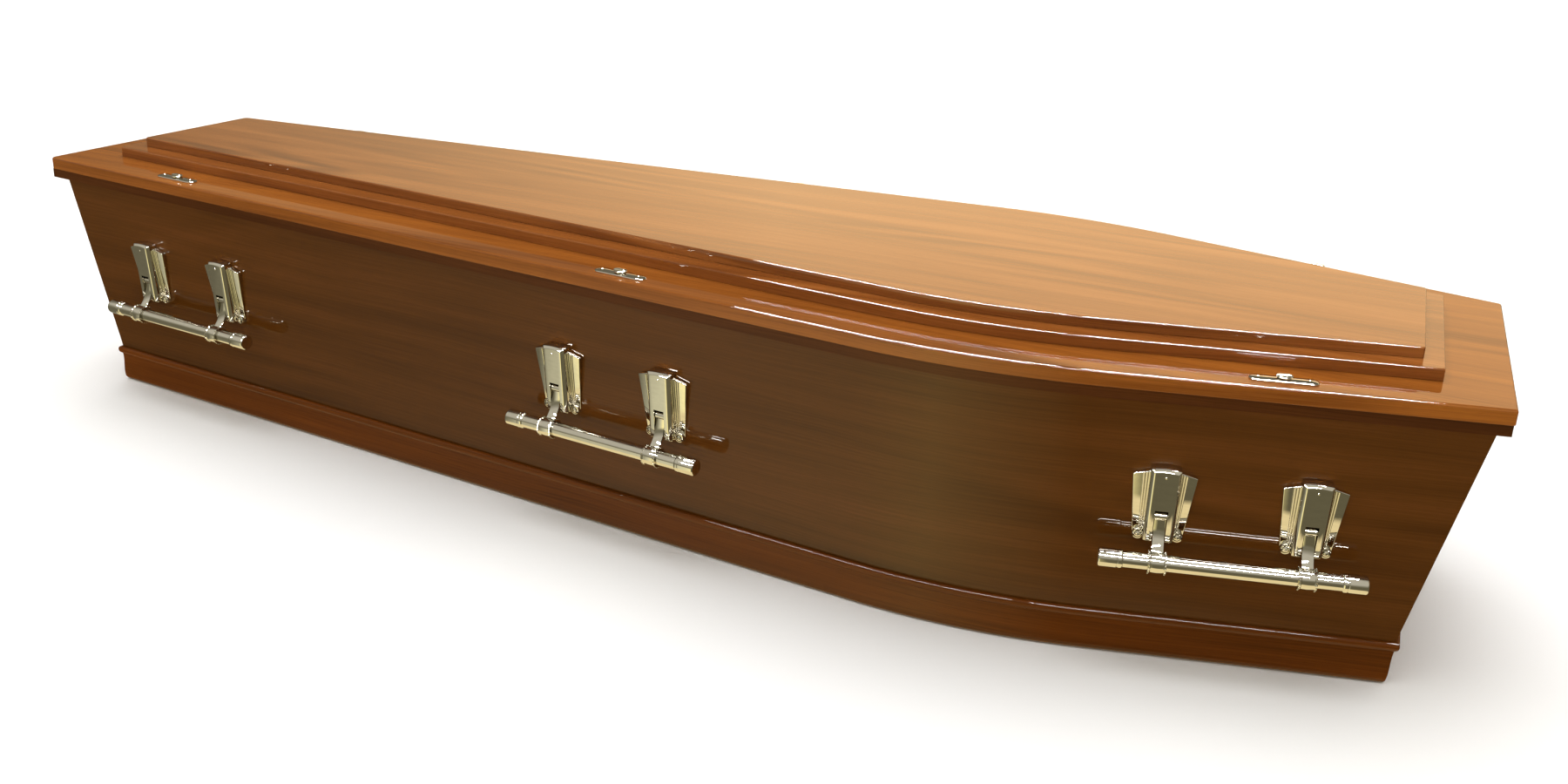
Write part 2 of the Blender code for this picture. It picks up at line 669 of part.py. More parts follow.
def main():
    """Build the coffin."""
    empty_scene()
    parts = new_collection("coffin")
    guides = new_collection("cutters")
    box_wood = new_material("box_veneer", (0.085, 0.030, 0.012), 0.12, 0.0)
    lid_wood = new_material("lid_veneer", (0.30, 0.120, 0.035), 0.12, 0.0)
    tier_wood = new_material("tier_veneer", (0.34, 0.150, 0.055), 0.12, 0.0)
    trim_wood = new_material("trim_wood", (0.110, 0.030, 0.012), 0.12, 0.0)
    chrome = new_material("chrome", (0.78, 0.76, 0.72), 0.08, 1.0)
    make_floor(parts, box_wood)
    walls = {}
    for name, side in SIDES.items():
        walls[name] = make_side_board("side_board_" + name, side, parts, box_wood)
    for name, end in ENDS.items():
        make_end_board(name + "_board", end, parts, box_wood)
    for run in (*SIDES, *ENDS):
        make_moulding(run, parts, trim_wood)
        make_strip(run, parts, trim_wood)
    lid = make_lid(parts, lid_wood, tier_wood)
    make_lid_screws(lid, walls, parts, guides, chrome)
    make_handles(parts, guides, chrome)
    bpy.context.view_layer.update()


main()
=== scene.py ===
"""Looks of a lacquered coffin with a stepped lid, bar handles and lid screws, on a pale studio floor."""

import math

import bmesh
import bpy
from bpy.props import FloatProperty, FloatVectorProperty, IntProperty, PointerProperty
from mathutils import Matrix, Vector


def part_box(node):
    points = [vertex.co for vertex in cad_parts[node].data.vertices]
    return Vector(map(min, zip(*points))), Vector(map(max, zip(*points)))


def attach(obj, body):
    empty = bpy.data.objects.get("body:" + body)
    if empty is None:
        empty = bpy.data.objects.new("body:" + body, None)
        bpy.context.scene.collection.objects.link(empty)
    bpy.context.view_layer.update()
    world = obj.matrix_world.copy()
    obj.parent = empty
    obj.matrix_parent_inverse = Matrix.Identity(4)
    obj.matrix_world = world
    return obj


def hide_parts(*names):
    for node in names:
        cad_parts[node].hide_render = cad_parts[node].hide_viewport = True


bl_info = {
    "name": "Lacquered Coffin",
    "version": (1, 0, 0),
    "blender": (4, 5, 0),
    "location": "3D View > Sidebar > Coffin",
    "description": "Builds the finished boards, mouldings, handles and lid screws of a coffin",
    "category": "Object",
}

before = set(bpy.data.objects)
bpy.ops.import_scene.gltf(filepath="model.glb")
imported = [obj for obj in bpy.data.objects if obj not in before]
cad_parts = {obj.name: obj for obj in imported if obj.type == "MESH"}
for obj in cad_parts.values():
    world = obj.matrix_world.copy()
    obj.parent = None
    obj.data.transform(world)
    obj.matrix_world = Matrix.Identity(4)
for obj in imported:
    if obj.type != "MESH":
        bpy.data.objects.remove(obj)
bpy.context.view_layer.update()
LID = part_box("lid_board")
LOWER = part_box("lid_lower_tier")
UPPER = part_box("lid_upper_tier")
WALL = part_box("side_board_right")
FOOT_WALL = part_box("foot_board")
HEAD_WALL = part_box("head_board")
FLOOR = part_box("floor_board")

SIDES = {"left": -1, "right": 1}
ENDS = {"foot": -1, "head": 1}
PLACES = ("head", "middle", "foot")
BODY = "coffin_body"
GAP = 0.0003                     # between two pieces that touch
HINGE_PLAY = 0.0004              # round a pin that turns
SHOULDER_STEPS = 64
ROUND_STEPS = 6                  # across a rounded edge
TURNED_SIDES = 48                # round a turned piece
SMOOTH_UP_TO = 32                # degrees between faces that are shaded as one
BEAD_POINTS = 10                 # along a third of the moulding's section
PIN_REACH = 0.0018               # of each pin end past the arm
ARM_PLAY = 0.0008                # each side of the arm in its slot
SLOT_TOP = 0.0085                # of the arm's slot, above the pin
SLOT_FOOT = -0.06                # of the arm's slot, below any plate
THROUGH = 0.031                  # reach of a cutter, past any plate
SEAT = 0.0003                    # how deep a small boss sits in its plate
WELD = 0.000002                  # points nearer than this are made one
FLOOR_REACH = 30
FLOOR_DROP = 0.0005              # of the studio floor below the coffin
TUBE_WIDTH = 0.35
TUBE_HEIGHT = 2.84


def size(name, description, value):
    """A length that a user may change."""
    return FloatProperty(name=name, description=description, default=value, unit="LENGTH", precision=4)


def linear(code):
    """An sRGB hex colour as linear red, green and blue."""
    shares = [int(code[start:start + 2], 16) / 255 for start in (1, 3, 5)]
    return [share / 12.92 if share <= 0.04045 else ((share + 0.055) / 1.055) ** 2.4 for share in shares]


def tint(name, description, code):
    """A colour that a user may change."""
    return FloatVectorProperty(name=name, description=description, default=linear(code), subtype="COLOR",
                               size=3, min=0, max=1)


class CoffinPlan(bpy.types.PropertyGroup):
    """The lid seen from above, and the lean of the walls."""
    length: size("Length", "Length of the lid board", LID[1].x - LID[0].x)
    foot_half: size("Foot half width", "Half the width of the lid at the foot end", 0.1815)
    head_half: size("Head half width", "Half the width of the lid at the head end", 0.1915)
    shoulder_half: size("Shoulder half width", "Half the width where a side's two runs would meet", 0.31793)
    shoulder_from_head: size("Shoulder from head", "Distance of the shoulder from the head end", 0.517)
    shoulder_radius: size("Shoulder radius", "Radius of the bend at the shoulder", 0.838)
    box_height: size("Box height", "Height of the walls", WALL[1].z - WALL[0].z)
    wall: size("Wall thickness", "Thickness of the walls, measured level", 0.016)
    floor: size("Floor thickness", "Thickness of the floor board", FLOOR[1].z - FLOOR[0].z)
    side_overhang: size("Side overhang", "Lid past the top of a long wall", LID[1].y - WALL[1].y)
    head_overhang: size("Head overhang", "Lid past the top of the head wall", LID[1].x - HEAD_WALL[1].x)
    foot_overhang: size("Foot overhang", "Lid past the top of the foot wall", FOOT_WALL[0].x - LID[0].x)
    side_rake: size("Side lean", "How far a long wall's foot stands in", 0.0247)
    head_rake: size("Head lean", "How far the head wall's foot stands in", 0.0677)
    foot_rake: size("Foot lean", "How far the foot wall's foot stands in", 0.0612)


class CoffinLid(bpy.types.PropertyGroup):
    """The lid board, its two tiers and the strip under it."""
    edge: size("Lid arris", "Radius of the lid board's upper edge", 0.003)
    tier_edge: size("Tier arris", "Radius of a tier's upper edge", 0.0018)
    under_edge: size("Under arris", "Radius of the lid board's lower edge", 0.0008)
    head_round: size("Head corner", "Radius of the corners at the head end, seen from above", 0.004)
    foot_round: size("Foot corner", "Radius of the corners at the foot end, seen from above", 0.008)
    lower_margin: size("Lower tier margin", "Ledge beside the lower tier", LID[1].y - LOWER[1].y)
    lower_end: size("Lower tier end margin", "Ledge at the ends of the lower tier", LID[1].x - LOWER[1].x)
    upper_margin: size("Upper tier margin", "Side of the lid to the upper tier", LID[1].y - UPPER[1].y)
    upper_end: size("Upper tier end margin", "End of the lid to the upper tier", LID[1].x - UPPER[1].x)
    strip_height: size("Strip height", "Height of the strip under the lid", 0.012)
    strip_setback: size("Strip setback", "How far the strip stands in from the lid's edge", 0.0015)


class CoffinMoulding(bpy.types.PropertyGroup):
    """The base moulding."""
    height: size("Height", "Height of the base moulding", 0.050)
    face: size("Face", "Hollow under the bead, out from the wall", 0.0026)
    bead_out: size("Bead", "Crown of the bead, out from the wall", 0.0058)
    bead_height: size("Bead height", "Height of the bead", 0.010)
    toe_out: size("Toe", "Crown of the toe, out from the wall", 0.0067)
    toe_height: size("Toe height", "Height of the toe's round underside", 0.005)


class CoffinScrews(bpy.types.PropertyGroup):
    """The lid screws and the plates under them."""
    from_head: size("From head", "Screw from the head end", 0.2195)
    from_foot: size("From foot", "Screw from the foot end", 0.2415)
    plate_length: size("Plate length", "Length of a screw plate", 0.070)
    plate_width: size("Plate width", "Width of a screw plate", 0.017)
    plate_thickness: size("Plate thickness", "Thickness of a screw plate", 0.0028)
    head_radius: size("Head radius", "Radius of the round head", 0.0072)
    head_height: size("Head height", "Height of the round head", 0.0026)
    wing_length: size("Wing length", "Length of the upright wing", 0.0172)
    wing_thickness: size("Wing thickness", "Thickness of the upright wing", 0.0052)
    wing_height: size("Wing height", "Height of the upright wing", 0.0034)
    shank_radius: size("Shank radius", "Radius of the shank", 0.0025)
    grip: size("Grip", "Depth of the shank in the wall", 0.016)


class CoffinHandles(bpy.types.PropertyGroup):
    """The handles, measured from the hinge pin."""
    from_head: size("From head", "Middle of the handle from the head end", 0.247)
    from_foot: size("From foot", "Middle of the handle from the foot end", 0.244)
    pin_height: size("Pin height", "Height of the hinge on the wall", 0.1785)
    plate_spacing: size("Plate spacing", "Between the two back plates of a handle", 0.1525)
    panel_half: size("Panel half width", "Half the width of the raised panel", 0.0158)
    panel_top: size("Panel top", "Top of the raised panel above the pin", 0.0552)
    panel_dome: size("Panel dome", "Rise of the panel's rounded top", 0.0015)
    panel_bottom: size("Panel bottom", "Bottom of the raised panel below the pin", 0.0295)
    panel_thickness: size("Panel thickness", "Front of the panel, out from the wall", 0.0155)
    panel_flank: size("Panel flank", "Width of the panel's sloped flank", 0.0034)
    leaf_top_half: size("Leaf top half width", "Half the width of the fan at its top", 0.0332)
    leaf_bottom_half: size("Leaf bottom half width", "Half the width of the fan at its foot", 0.0265)
    leaf_top: size("Leaf top", "Top of the fan above the pin", 0.0487)
    leaf_thickness: size("Leaf thickness", "Thickness of the fan's back leaf", 0.0034)
    leaf_tilt: FloatProperty(name="Leaf tilt", description="Rise of the leaf's front for each metre up",
                             default=0.06)
    pleats: IntProperty(name="Pleats", description="Pleats on each half of the fan", default=3, min=1, max=8)
    pleat_radius: size("Pleat radius", "Radius of a pleat at its top", 0.0014)
    pleats_wide: size("Width of the pleats", "Width of the pleats at their top", 0.0078)
    scroll_radius: size("Scroll radius", "Radius of the scroll at the foot of the fan", 0.0060)
    scroll_thickness: size("Scroll thickness", "Height of the scroll", 0.0078)
    arm_width: size("Arm width", "Width of an arm's strap", 0.0122)
    arm_thickness: size("Arm thickness", "Thickness of an arm's strap", 0.0040)
    pin_out: size("Pin out", "Axis of the pin, out from the wall", 0.0100)
    pin_radius: size("Pin radius", "Radius of the pin", 0.0022)
    bar_drop: size("Bar drop", "Axis of the bar below the pin", 0.0437)
    bar_out: size("Bar out", "Axis of the bar, out from the wall", 0.0310)
    bar_length: size("Bar length", "Length of the bar", 0.274)
    bar_radius: size("Bar radius", "Radius of the bar", 0.0088)
    sleeve_radius: size("Sleeve radius", "Radius of the thicker ends", 0.0101)
    sleeve_length: size("Sleeve length", "Length of a thicker end", 0.025)
    collar_radius: size("Collar radius", "Radius of the collar round the bar", 0.0124)
    collar_width: size("Collar width", "Width of the collar round the bar", 0.0188)
    collar_beads: IntProperty(name="Collar beads", description="Beads round each rim of a collar", default=22,
                              min=3, max=60)


class CoffinFinish(bpy.types.PropertyGroup):
    """Colours of the finishes."""
    lid_light: tint("Lid light", "Lightest grain of the lid board", "#A15F20")
    lid_mid: tint("Lid middle", "Common tone of the lid board", "#8E511C")
    lid_dark: tint("Lid dark", "Darkest grain of the lid board", "#713D11")
    tier_light: tint("Tier light", "Lightest grain of the tiers", "#9F602C")
    tier_mid: tint("Tier middle", "Common tone of the tiers", "#8C501F")
    tier_dark: tint("Tier dark", "Darkest grain of the tiers", "#6E3A13")
    # painted shade: the wall tones are the lid's veneer made darker for the shade on the upright walls
    box_light: tint("Box light", "Lightest grain of the walls", "#633916")
    box_mid: tint("Box middle", "Common tone of the walls", "#57320F")
    box_dark: tint("Box dark", "Darkest grain of the walls", "#49290A")
    # partly painted shade: the moulding's tones are its stain made as dark as the shaded walls
    trim_light: tint("Trim light", "Lightest grain of the mouldings", "#7C4114")
    trim_mid: tint("Trim middle", "Common tone of the mouldings", "#68360E")
    trim_dark: tint("Trim dark", "Darkest grain of the mouldings", "#502908")
    # painted shade: the strip's tones are made dark for the shadow under the lid's overhang
    strip_light: tint("Strip light", "Lightest grain of the strip under the lid", "#5A3215")
    strip_mid: tint("Strip middle", "Common tone of the strip under the lid", "#4A280F")
    strip_dark: tint("Strip dark", "Darkest grain of the strip under the lid", "#3A1E0A")
    metal: tint("Plating", "Colour of the bright plating", "#DEDACF")


class CoffinStudio(bpy.types.PropertyGroup):
    """Floor and lights."""
    floor: tint("Floor", "Colour of the studio floor", "#F6F7FA")
    room: FloatProperty(name="Room light", description="Brightness of the room", default=1.7, min=0)
    tubes: FloatProperty(name="Tube light", description="Radiance of the ceiling tubes", default=240, min=0)
    soft_sky: FloatProperty(name="Soft light", description="Strength of the soft light above", default=3.2,
                            min=0)


def wire(node, wiring):
    """Link or fill a node's sockets, by name or in order."""
    for socket, value in wiring.items() if isinstance(wiring, dict) else enumerate(wiring):
        if isinstance(value, bpy.types.NodeSocket):
            node.id_data.links.new(value, node.inputs[socket])
        else:
            node.inputs[socket].default_value = value


def add(tree, kind, wiring=(), stops=(), out=0, **settings):
    """Add a node with its settings, links and colour stops. Gives the output named or numbered by out."""
    node = tree.nodes.new(kind)
    for name, value in settings.items():
        setattr(node, name, value)
    wire(node, wiring)
    for number, (place, colour) in enumerate(stops):
        row = node.color_ramp.elements
        stop = row[number] if number < 2 else row.new(place)
        stop.position = place
        stop.color = (*colour, 1.0)
    return node.outputs[out]


def new_tree(name, inputs):
    """Geometry Nodes tree with named inputs. Gives the tree, its input node and its output node."""
    tree = bpy.data.node_groups.new(name, "GeometryNodeTree")
    tree.interface.new_socket("Geometry", in_out="INPUT", socket_type="NodeSocketGeometry")
    for label, kind in inputs.items():
        tree.interface.new_socket(label, in_out="INPUT", socket_type="NodeSocket" + kind)
    tree.interface.new_socket("Geometry", in_out="OUTPUT", socket_type="NodeSocketGeometry")
    return tree, tree.nodes.new("NodeGroupInput").outputs, tree.nodes.new("NodeGroupOutput")


def end_tree(tree, source, outputs, geometry):
    """Turn instances into mesh, give it its material and lead it out."""
    real = add(tree, "GeometryNodeRealizeInstances", {"Geometry": geometry})
    wire(outputs, (add(tree, "GeometryNodeSetMaterial", {"Geometry": real, "Material": source["Material"]}),))


def hold(name, data):
    """A new object in the scene, round a mesh, a light or a camera."""
    holder = bpy.data.objects.new(name, data)
    bpy.context.scene.collection.objects.link(holder)
    return holder


def run_tree(tree, mesh, values):
    """Run a tree on a mesh and give the result as a plain mesh."""
    holder = hold("holder", mesh)
    modifier = holder.modifiers.new("made", "NODES")
    modifier.node_group = tree
    sockets = {item.name: item.identifier for item in tree.interface.items_tree if item.in_out == "INPUT"}
    for label, value in values.items():
        modifier[sockets[label]] = value
    return taken(holder)


def taken(holder):
    """The object's evaluated shape as a plain mesh. The object goes."""
    bpy.context.view_layer.update()
    made = bpy.data.meshes.new_from_object(
        holder.evaluated_get(bpy.context.evaluated_depsgraph_get()))
    bpy.data.objects.remove(holder)
    return made


def close_mesh(mesh):
    """Weld doubles and turn the faces out."""
    bm = bmesh.new()
    bm.from_mesh(mesh)
    bmesh.ops.remove_doubles(bm, verts=bm.verts, dist=WELD)
    bmesh.ops.recalc_face_normals(bm, faces=bm.faces)
    bm.to_mesh(mesh)
    bm.free()
    return mesh


def soften(mesh):
    """Shade round stretches smooth and keep edges and broad flats sharp."""
    mesh.shade_smooth()
    mesh.set_sharp_from_angle(angle=math.radians(SMOOTH_UP_TO))
    return mesh


def stacked(rings, capped=True):
    """Skin between closed rings of as many points.

    Flat caps close the ends, or else the last ring meets the first."""
    bm = bmesh.new()
    grid = [[bm.verts.new(point) for point in ring] for ring in rings]
    for low, high in zip(grid, grid[1:]):
        for step in range(len(low)):
            after = (step + 1) % len(low)
            bm.faces.new((low[step], low[after], high[after], high[step])).smooth = True
    if capped:
        bm.faces.new(list(reversed(grid[0])))
        bm.faces.new(grid[-1])
    else:
        for step in range(len(grid[0])):
            after = (step + 1) % len(grid[0])
            bm.faces.new((grid[-1][step], grid[-1][after], grid[0][after], grid[0][step])).smooth = True
    mesh = bpy.data.meshes.new("stacked")
    bm.to_mesh(mesh)
    bm.free()
    flats = [polygon.use_smooth for polygon in mesh.polygons]
    close_mesh(mesh)
    mesh.set_sharp_from_angle(angle=math.radians(SMOOTH_UP_TO))
    mesh.polygons.foreach_set("use_smooth", flats)
    return mesh


def swept(rows):
    """Solid whose section has one corner on each row. All rows have as many points."""
    bm = bmesh.new()
    grid = [[bm.verts.new(point) for point in row] for row in rows]
    for number, row in enumerate(grid):
        other = grid[(number + 1) % len(grid)]
        for step in range(len(row) - 1):
            bm.faces.new((row[step], row[step + 1], other[step + 1], other[step]))
    bm.faces.new([row[0] for row in grid])
    bm.faces.new([row[-1] for row in reversed(grid)])
    mesh = bpy.data.meshes.new("swept")
    bm.to_mesh(mesh)
    bm.free()
    return soften(close_mesh(mesh))


def turned(profile, capped=True):
    """A piece turned about Z, from the radius and height of its rings."""
    rings = []
    for radius, height in profile:
        ring = []
        for step in range(TURNED_SIDES):
            angle = 2 * math.pi * step / TURNED_SIDES
            ring.append((radius * math.cos(angle), radius * math.sin(angle), height))
        rings.append(ring)
    return stacked(rings, capped)


def prism(points, low, high, rounding=0.0, segments=2):
    """Upright prism on an outline, its edges rounded."""
    mesh = stacked([[(x, y, low) for x, y in points], [(x, y, high) for x, y in points]])
    if rounding:
        return rounded(mesh, rounding, segments)
    return mesh


def rounded(mesh, width, segments):
    """The mesh with its sharp edges rounded."""
    holder = hold("holder", mesh)
    bevel = holder.modifiers.new("rounded", "BEVEL")
    bevel.width = width
    bevel.segments = segments
    bevel.limit_method = "ANGLE"
    bevel.angle_limit = math.radians(SMOOTH_UP_TO)
    bevel.harden_normals = False
    return soften(taken(holder))


def cut(mesh, tools):
    """The mesh with the tools' shapes cut away."""
    holder = hold("holder", mesh)
    cutters = [hold("cutter", tool) for tool in tools]
    for cutter in cutters:
        boolean = holder.modifiers.new("cut", "BOOLEAN")
        boolean.operation = "DIFFERENCE"
        boolean.object = cutter
    made = taken(holder)
    for cutter in cutters:
        bpy.data.objects.remove(cutter)
    return soften(made)


def joined(parts):
    """Several meshes as one. Each part is a mesh and the matrix that places it."""
    bm = bmesh.new()
    for mesh, place in parts:
        copy = mesh.copy()
        copy.transform(place)
        bm.from_mesh(copy)
        bpy.data.meshes.remove(copy)
    made = bpy.data.meshes.new("joined")
    bm.to_mesh(made)
    bm.free()
    return made


def rectangle(half_x, low_y, high_y):
    """Outline of a rectangle centred on Y, anticlockwise."""
    return [(-half_x, low_y), (half_x, low_y), (half_x, high_y), (-half_x, high_y)]


def put(name, mesh, body, material, nodes):
    """Hang a finished piece on its body, in place of its CAD nodes."""
    mesh.materials.clear()
    mesh.materials.append(material)
    mesh.name = name
    piece = hold(name, mesh)
    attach(piece, body)
    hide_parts(*nodes)


def lay_veneer(mesh, shift):
    """Give every face a UV place in metres, with the grain along U. shift starts each piece elsewhere."""
    layer = mesh.uv_layers.new(name="grain")
    for polygon in mesh.polygons:
        facing = [abs(share) for share in polygon.normal]
        for loop in polygon.loop_indices:
            x, y, z = mesh.vertices[mesh.loops[loop].vertex_index].co
            if facing[2] >= max(facing[0], facing[1]):
                place = (x, y)
            elif facing[1] >= facing[0]:
                place = (x, z)
            else:
                place = (y, z)
            layer.data[loop].uv = (place[0] + shift[0], place[1] + shift[1])


def side_path(plan, inset, head_in, foot_in):
    """Plan line of the +Y side, moved in by inset and cut off at both ends."""
    foot = Vector((-plan.length / 2, plan.foot_half))
    shoulder = Vector((plan.length / 2 - plan.shoulder_from_head, plan.shoulder_half))
    head = Vector((plan.length / 2, plan.head_half))
    rise = (shoulder - foot).normalized()
    fall = (head - shoulder).normalized()
    centre = shoulder + (fall - rise).normalized() * plan.shoulder_radius / math.cos(rise.angle(fall) / 2)
    first = math.atan2(rise.x, -rise.y)
    last = math.atan2(fall.x, -fall.y)
    arc = []
    for step in range(SHOULDER_STEPS + 1):
        angle = first + (last - first) * step / SHOULDER_STEPS
        spoke = Vector((math.cos(angle), math.sin(angle)))
        arc.append(centre + (plan.shoulder_radius - inset) * spoke)
    foot_x = foot_in - plan.length / 2
    head_x = plan.length / 2 - head_in
    foot_y = arc[0].y + (foot_x - arc[0].x) * rise.y / rise.x
    head_y = arc[-1].y + (head_x - arc[-1].x) * fall.y / fall.x
    return [Vector((foot_x, foot_y)), *arc, Vector((head_x, head_y))]


def corner_arc(before, corner, after, radius):
    """A left-hand corner between two straight runs, rounded off."""
    back = (before - corner).normalized()
    onward = (after - corner).normalized()
    half = back.angle(onward) / 2
    centre = corner + (back + onward).normalized() * radius / math.sin(half)
    spoke = corner + back * radius / math.tan(half) - centre
    turn = math.pi - 2 * half
    return [centre + Matrix.Rotation(turn * step / ROUND_STEPS, 2) @ spoke for step in range(ROUND_STEPS + 1)]


def outline(plan, inset, head_in, foot_in, head_round=0.0, foot_round=0.0):
    """Closed outline seen from above, anticlockwise, its four corners sharp or rounded."""
    path = side_path(plan, inset, head_in, foot_in)
    points = [Vector((point.x, -point.y)) for point in path] + path[::-1]
    rounds = {0: foot_round, len(path) - 1: head_round, len(path): head_round, len(points) - 1: foot_round}
    ring = []
    for number, point in enumerate(points):
        if rounds.get(number):
            ring += corner_arc(points[number - 1], point, points[(number + 1) % len(points)], rounds[number])
        else:
            ring.append(point)
    return [(point.x, point.y) for point in ring]


def wall_insets(plan, height):
    """How far the outer face of the side, head and foot walls is in from the lid's edge."""
    lean = 1 - height / plan.box_height
    side = plan.side_overhang + plan.side_rake * lean
    head = plan.head_overhang + plan.head_rake * lean
    foot = plan.foot_overhang + plan.foot_rake * lean
    return side, head, foot


def places_along(plan, from_head, from_foot):
    """Name, side and X of the three fittings of each side."""
    head = plan.length / 2 - from_head
    foot = from_foot - plan.length / 2
    stands = dict(zip(PLACES, (head, (head + foot) / 2, foot)))
    return [(f"{name}_{place}", side, x) for name, side in SIDES.items() for place, x in stands.items()]


def point_on_side(plan, x, inset):
    """Place and direction of the +Y side's plan line at x."""
    path = side_path(plan, inset, 0, 0)
    for start, end in zip(path, path[1:]):
        if x <= end.x:
            break
    along = (end - start).normalized()
    return Vector((x, start.y + (x - start.x) * along.y / along.x)), along


def wall_frame(plan, x, height, side):
    """Frame on the outer face of a long wall: X along it, Y up its slope, Z straight out."""
    place, along = point_on_side(plan, x, wall_insets(plan, height)[0])
    level = Vector((-side * along.x, -along.y, 0))
    outward = Vector((-along.y, side * along.x, 0))
    slope = (outward * plan.side_rake + Vector((0, 0, plan.box_height))).normalized()
    turn = Matrix((level, slope, level.cross(slope))).transposed().to_4x4()
    return Matrix.Translation((place.x, side * place.y, height)) @ turn


def lid_frame(plan, x, side):
    """Frame on the lid's ledge over the middle of the wall, X along the edge, Z up."""
    place, along = point_on_side(plan, x, plan.side_overhang + plan.wall / 2)
    turn = Matrix.Rotation(math.atan2(side * along.y, along.x), 4, "Z")
    return Matrix.Translation((place.x, side * place.y, LID[1].z)) @ turn


def new_material(name):
    """A material with an empty tree. Gives the material, its tree and its shader."""
    material = bpy.data.materials.new(name)
    material.use_nodes = True
    return material, material.node_tree, material.node_tree.nodes["Principled BSDF"]


def veneer(name, tones, figure, coat):
    """Sliced hardwood veneer under clear lacquer.

    Long fibres and growth bands run along the board, and the cut opens them into a few tall arches. The
    lacquer gives a mirror over the soft wood."""
    if name in bpy.data.materials:
        return bpy.data.materials[name]
    material, tree, shader = new_material(name)
    place = add(tree, "ShaderNodeUVMap", uv_map="grain")
    along, aside = add(tree, "ShaderNodeSeparateXYZ", (place,)).node.outputs[:2]

    # the lines drift aside by up to 18 mm on their way along the board
    sway_at = add(tree, "ShaderNodeMapping", {"Vector": place, "Scale": (1.3, 6.0, 1.0)})
    sway = add(tree, "ShaderNodeTexNoise", {"Vector": sway_at, "Scale": 1.0, "Detail": 2.0})
    drift = add(tree, "ShaderNodeMath", (sway, 0.036, aside), operation="MULTIPLY_ADD")
    bent = add(tree, "ShaderNodeCombineXYZ", (along, drift))

    # cycles per metre along and across the grain. Fibres are 1 to 2 mm apart, coarser than the real 0.3 mm
    # so that they show, streaks 10 to 40 mm wide, pores short dashes, and the lacquer waves 12 mm long
    layers = {}
    for label, start, scale, detail in (
            ("hills", bent, (0.75, 7.5, 1.0), 1.5), ("patches", place, (1.9, 9.0, 1.0), 1.0),
            ("streak", bent, (1.0, 32.0, 1.0), 4.0), ("broad", bent, (0.9, 6.0, 1.0), 1.0),
            ("fibre", bent, (7.0, 520.0, 1.0), 3.0), ("pore", bent, (60.0, 1300.0, 1.0), 1.0),
            ("wave", place, (60.0, 85.0, 1.0), 0.0)):
        at = add(tree, "ShaderNodeMapping", {"Vector": start, "Scale": scale})
        layers[label] = add(tree, "ShaderNodeTexNoise", {"Vector": at, "Scale": 1.0, "Detail": detail})

    # growth rings that the slice opens into tall arches, 8 to 20 mm apart, strong in some places only
    rings = add(tree, "ShaderNodeMath", (layers["hills"], 62.0), operation="MULTIPLY")
    arches = add(tree, "ShaderNodeMath", (rings,), operation="SINE")
    strong = add(tree, "ShaderNodeMapRange", (layers["patches"], 0.45, 0.68, 0.0, figure))
    tone = add(tree, "ShaderNodeMath", (arches, strong), operation="MULTIPLY")
    for label, share in (("streak", 0.42), ("broad", 0.28), ("fibre", 0.30)):
        tone = add(tree, "ShaderNodeMath", (layers[label], share, tone), operation="MULTIPLY_ADD")
    light, middle, dark = tones
    colour = add(tree, "ShaderNodeValToRGB", (tone,), ((0.36, dark), (0.50, middle), (0.64, light)))
    dash = add(tree, "ShaderNodeMapRange", (layers["pore"], 0.60, 0.72, 0.0, 0.4))
    wood = add(tree, "ShaderNodeMix", {0: dash, 6: colour, 7: (*dark, 1.0)}, data_type="RGBA", out=2)

    # lacquer that has sunk a little into the grain, 3 thousandths of a millimetre deep
    bump = add(tree, "ShaderNodeBump", {"Height": layers["wave"], "Distance": 0.000003, "Strength": 1.0})
    wire(shader, {"Base Color": wood, "Roughness": 0.5, "Specular IOR Level": 0.0, "Coat Weight": coat,
                  "Coat Roughness": 0.008, "Coat IOR": 1.5, "Coat Normal": bump})
    return material


def lid_wood(finish):
    """Veneer of the lid board."""
    return veneer("lacquered_lid_veneer", (finish.lid_light, finish.lid_mid, finish.lid_dark), 0.07, 0.75)


def tier_wood(finish):
    """Veneer of the two tiers, a paler leaf than the lid board's."""
    return veneer("lacquered_tier_veneer", (finish.tier_light, finish.tier_mid, finish.tier_dark), 0.11, 1.0)


def box_wood(finish):
    """Veneer of the walls, whose lacquer is rubbed thin. Its tones are painted shade: the lid's veneer made
    darker because the upright walls stand in less light.
    """
    return veneer("wall_veneer_painted_shade", (finish.box_light, finish.box_mid, finish.box_dark), 0.06, 0.5)


def trim_wood(finish):
    """Solid stained wood of the mouldings, straight in the grain. Its tones are made as dark as the walls',
    which adds the same painted shade.
    """
    tones = (finish.trim_light, finish.trim_mid, finish.trim_dark)
    return veneer("moulding_wood_painted_shade", tones, 0.0, 0.35)


def strip_wood(finish):
    """Wood of the strip under the lid, its dark tones painted shade for the shadow under the lid's overhang.
    """
    return veneer("strip_painted_shade", (finish.strip_light, finish.strip_mid, finish.strip_dark), 0.0, 0.3)


